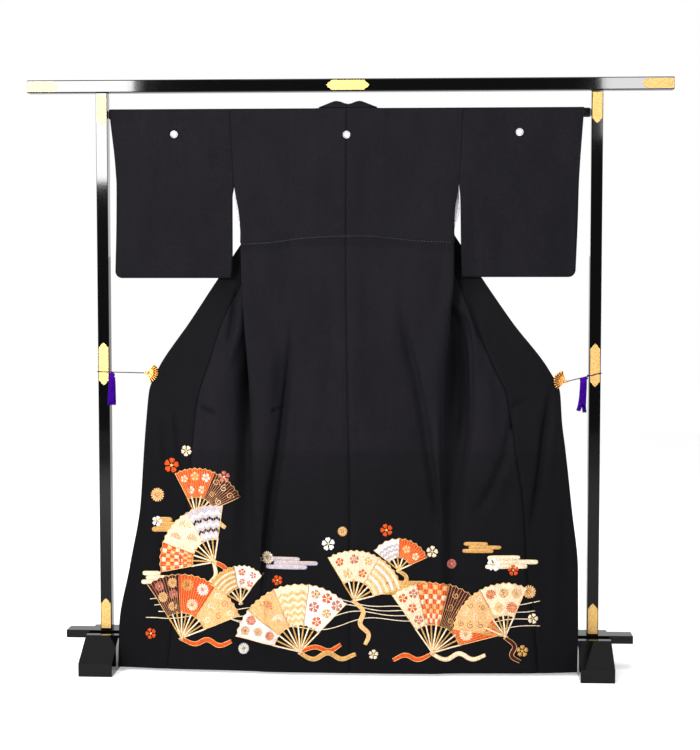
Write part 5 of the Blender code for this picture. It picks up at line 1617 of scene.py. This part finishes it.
# fan-shaped clips that hold the front edges
clipSizes = {
    -1: {"pivot": (0.5822, 0.8527), "angles": (-66, 52)},
    1: {"pivot": (0.6239, 0.8321), "angles": (-46, 78)},
    "radius": 0.0315, "spread": 1.14, "inner": 0.0045, "folds": 9, "wave": 0.0022, "scallop": 0.095,
    "sheet": 0.0007, "offset": 0.0055, "dish": 0.0012, "back": 0.0021, "rings": 9, "foldSteps": 8,
    # bulbs: how far outward along the leaf, and share of the size
    "pin": 0.0034, "bulb": 0.0040, "bulbs": ((0.0, 1.0), (-0.0042, 0.8)), "bulbFlat": 0.55, "bulbSink": 0.0004,
}


def clipFrame(side, sizes):
    def spot(station, z):
        return np.append(planAt(side, z, [station], False)[0], z)

    x, height = sizes[side]["pivot"]
    edge = spot(7, height)
    along = edge - spot(6.95, height)
    upward = spot(7, height + 0.003) - spot(7, height - 0.003)
    near = Vector(np.cross(along, upward)).normalized()
    if near.y > 0:
        near = -near
    inward = -Vector((along[0], along[1], 0)).normalized()
    inward = (inward - near * inward.dot(near)).normalized()
    up = inward.cross(near)
    if up.z < 0:
        up = -up
    outward = (abs(x) - abs(edge[0])) / abs(inward.x)
    return Vector(edge) - inward * outward - near * sizes["back"], inward, up, near


def buildClip(side, sideName, sizes):
    origin, inward, up, near = clipFrame(side, sizes)
    first, last = (math.radians(a) for a in sizes[side]["angles"])
    bm = bmesh.new()
    folding = sizes["foldSteps"]
    count = sizes["folds"] * folding + 1

    def leafSkin(facing, skin):
        rows = []
        for share in np.linspace(0, 1, sizes["rings"]):
            row = []
            for k in range(count):
                angle = first + (last - first) * k / (count - 1)
                fold = math.cos(2 * math.pi * k / folding)
                radius = sizes["inner"] + (sizes["radius"] - sizes["inner"]) * share
                radius *= 1 + sizes["scallop"] * (fold - 1) / 2 * share
                height = facing * (sizes["offset"] - sizes["dish"] * (1 - share))
                height += sizes["wave"] * fold * share + skin
                place = origin + inward * (math.cos(angle) * radius * sizes["spread"])
                row.append(bm.verts.new(place + up * (math.sin(angle) * radius) + near * height))
            rows.append(row)
        return rows

    for facing in (1, -1):
        one, two = (leafSkin(facing, skin) for skin in (sizes["sheet"] / 2, -sizes["sheet"] / 2))
        loops = [a + b[::-1] for a, b in zip(one, two)]
        for ring, (a, b) in enumerate(zip(loops, loops[1:])):
            for k in range(len(a)):
                face = bm.faces.new((a[k], a[(k + 1) % len(a)], b[(k + 1) % len(a)], b[k]))
                step = k if k < count - 1 else 2 * count - 2 - k
                # painted shade: faces around each fold valley in the outer rings get the dark gilt
                face.material_index = 1 if ring > 3 and step % folding in (2, 3, 4, 5) else 0    # dark valleys
        for rows in (loops[0], loops[-1]):
            for k in range(count - 1):
                bm.faces.new((rows[k], rows[k + 1], rows[-2 - k], rows[-1 - k]))
    turn = near.to_track_quat("Z", "Y").to_matrix().to_4x4()
    bmesh.ops.create_cone(
        bm, cap_ends=True, segments=24, radius1=sizes["pin"], radius2=sizes["pin"],
        depth=2 * (sizes["offset"] + sizes["sheet"]), matrix=Matrix.Translation(origin) @ turn,
    )
    flat = Matrix.Diagonal((1, 1, sizes["bulbFlat"], 1))
    for away, share in sizes["bulbs"]:
        for facing in (1, -1):
            place = origin + inward * away + near * facing * (sizes["offset"] - sizes["bulbSink"])
            bmesh.ops.create_uvsphere(
                bm, u_segments=20, v_segments=12, radius=sizes["bulb"] * share,
                matrix=Matrix.Translation(place) @ turn @ flat,
            )
    bmesh.ops.recalc_face_normals(bm, faces=bm.faces)
    name = "clip_" + sideName
    mesh = meshFrom(bm, name + "_fan")
    finishObject(linkObject(name + "_fan", mesh), ["giltClip", "giltValleyShade"], [name])


for side, sideName in bothSides:
    buildClip(side, sideName, clipSizes)
print("clips done")

# stand
standNodes = ("top_bar", "bottom_rail", "sleeve_rod", "post_left", "post_right", "foot_left", "foot_right")
for node in frame["nodes"]:
    if node in standNodes or node.startswith("plate_"):
        finish = finishes["lacquer" if node in standNodes else "gilt"]
        bpy.data.objects[node].material_slots[0].material = finish
print("stand done")

# floor and light
stage = {
    "floor": (1.0, 1.0, 1.0), "floorSize": 14, "floorGlow": 0.2,
    # the room behind the camera is dimmer than the white backdrop: its tone, and the y where it starts and ends
    "sky": 1.0, "frontSky": 0.27, "fade": (-0.75, 0.25),
    # name, place, aim, size, power
    "lamps": (
        ("key", (-1.97, -4.57, 2.18), (0, 0, 1.1), 1.0, 276),
        ("key_right", (1.43, -4.57, 2.16), (0, 0, 1.1), 0.46, 41),
        ("left", (-3.6, -2.2, 2.4), (0, 0, 1.0), 1.0, 62),
        ("top", (0.2, -1.0, 3.4), (0, 0, 1.0), 1.6, 46),
        ("rear", (0.0, 3.4, 2.6), (0, 0, 1.0), 3.0, 25),
    ),
}


def buildStage():
    bm = bmesh.new()
    bmesh.ops.create_grid(bm, x_segments=1, y_segments=1, size=stage["floorSize"] / 2)
    floor = linkObject("floor", meshFrom(bm, "floor", smooth=False))
    material, _, shader = newMaterial("floor_paper", stage["floor"], 0.9)
    shader.inputs["Emission Color"].default_value = (1, 1, 1, 1)
    shader.inputs["Emission Strength"].default_value = stage["floorGlow"]
    floor.data.materials.append(material)
    world = bpy.data.worlds.new("studio")
    world.use_nodes = True
    sky = world.node_tree
    coords = addNode(sky, "ShaderNodeTexCoord")
    parts = addNode(sky, "ShaderNodeSeparateXYZ")
    sky.links.new(coords.outputs["Generated"], parts.inputs["Vector"])
    dim, bright = stage["fade"]
    spread = addNode(sky, "ShaderNodeMapRange", (("From Min", dim), ("From Max", bright)))
    sky.links.new(parts.outputs["Y"], spread.inputs["Value"])
    grey = (stage["frontSky"],) * 3
    room = addRamp(sky, spread.outputs["Result"], ((0.0, grey), (1.0, (1, 1, 1))))
    sky.links.new(room, sky.nodes["Background"].inputs["Color"])
    sky.nodes["Background"].inputs["Strength"].default_value = stage["sky"]
    bpy.context.scene.world = world
    for name, place, aim, size, power in stage["lamps"]:
        data = bpy.data.lights.new(name, "AREA")
        data.size = size
        data.energy = power
        lamp = linkObject(name, data)
        lamp.location = place
        lamp.rotation_euler = (Vector(aim) - Vector(place)).to_track_quat("-Z", "Y").to_euler()
    bpy.context.scene.view_settings.view_transform = "Standard"


buildStage()
print("stage done")
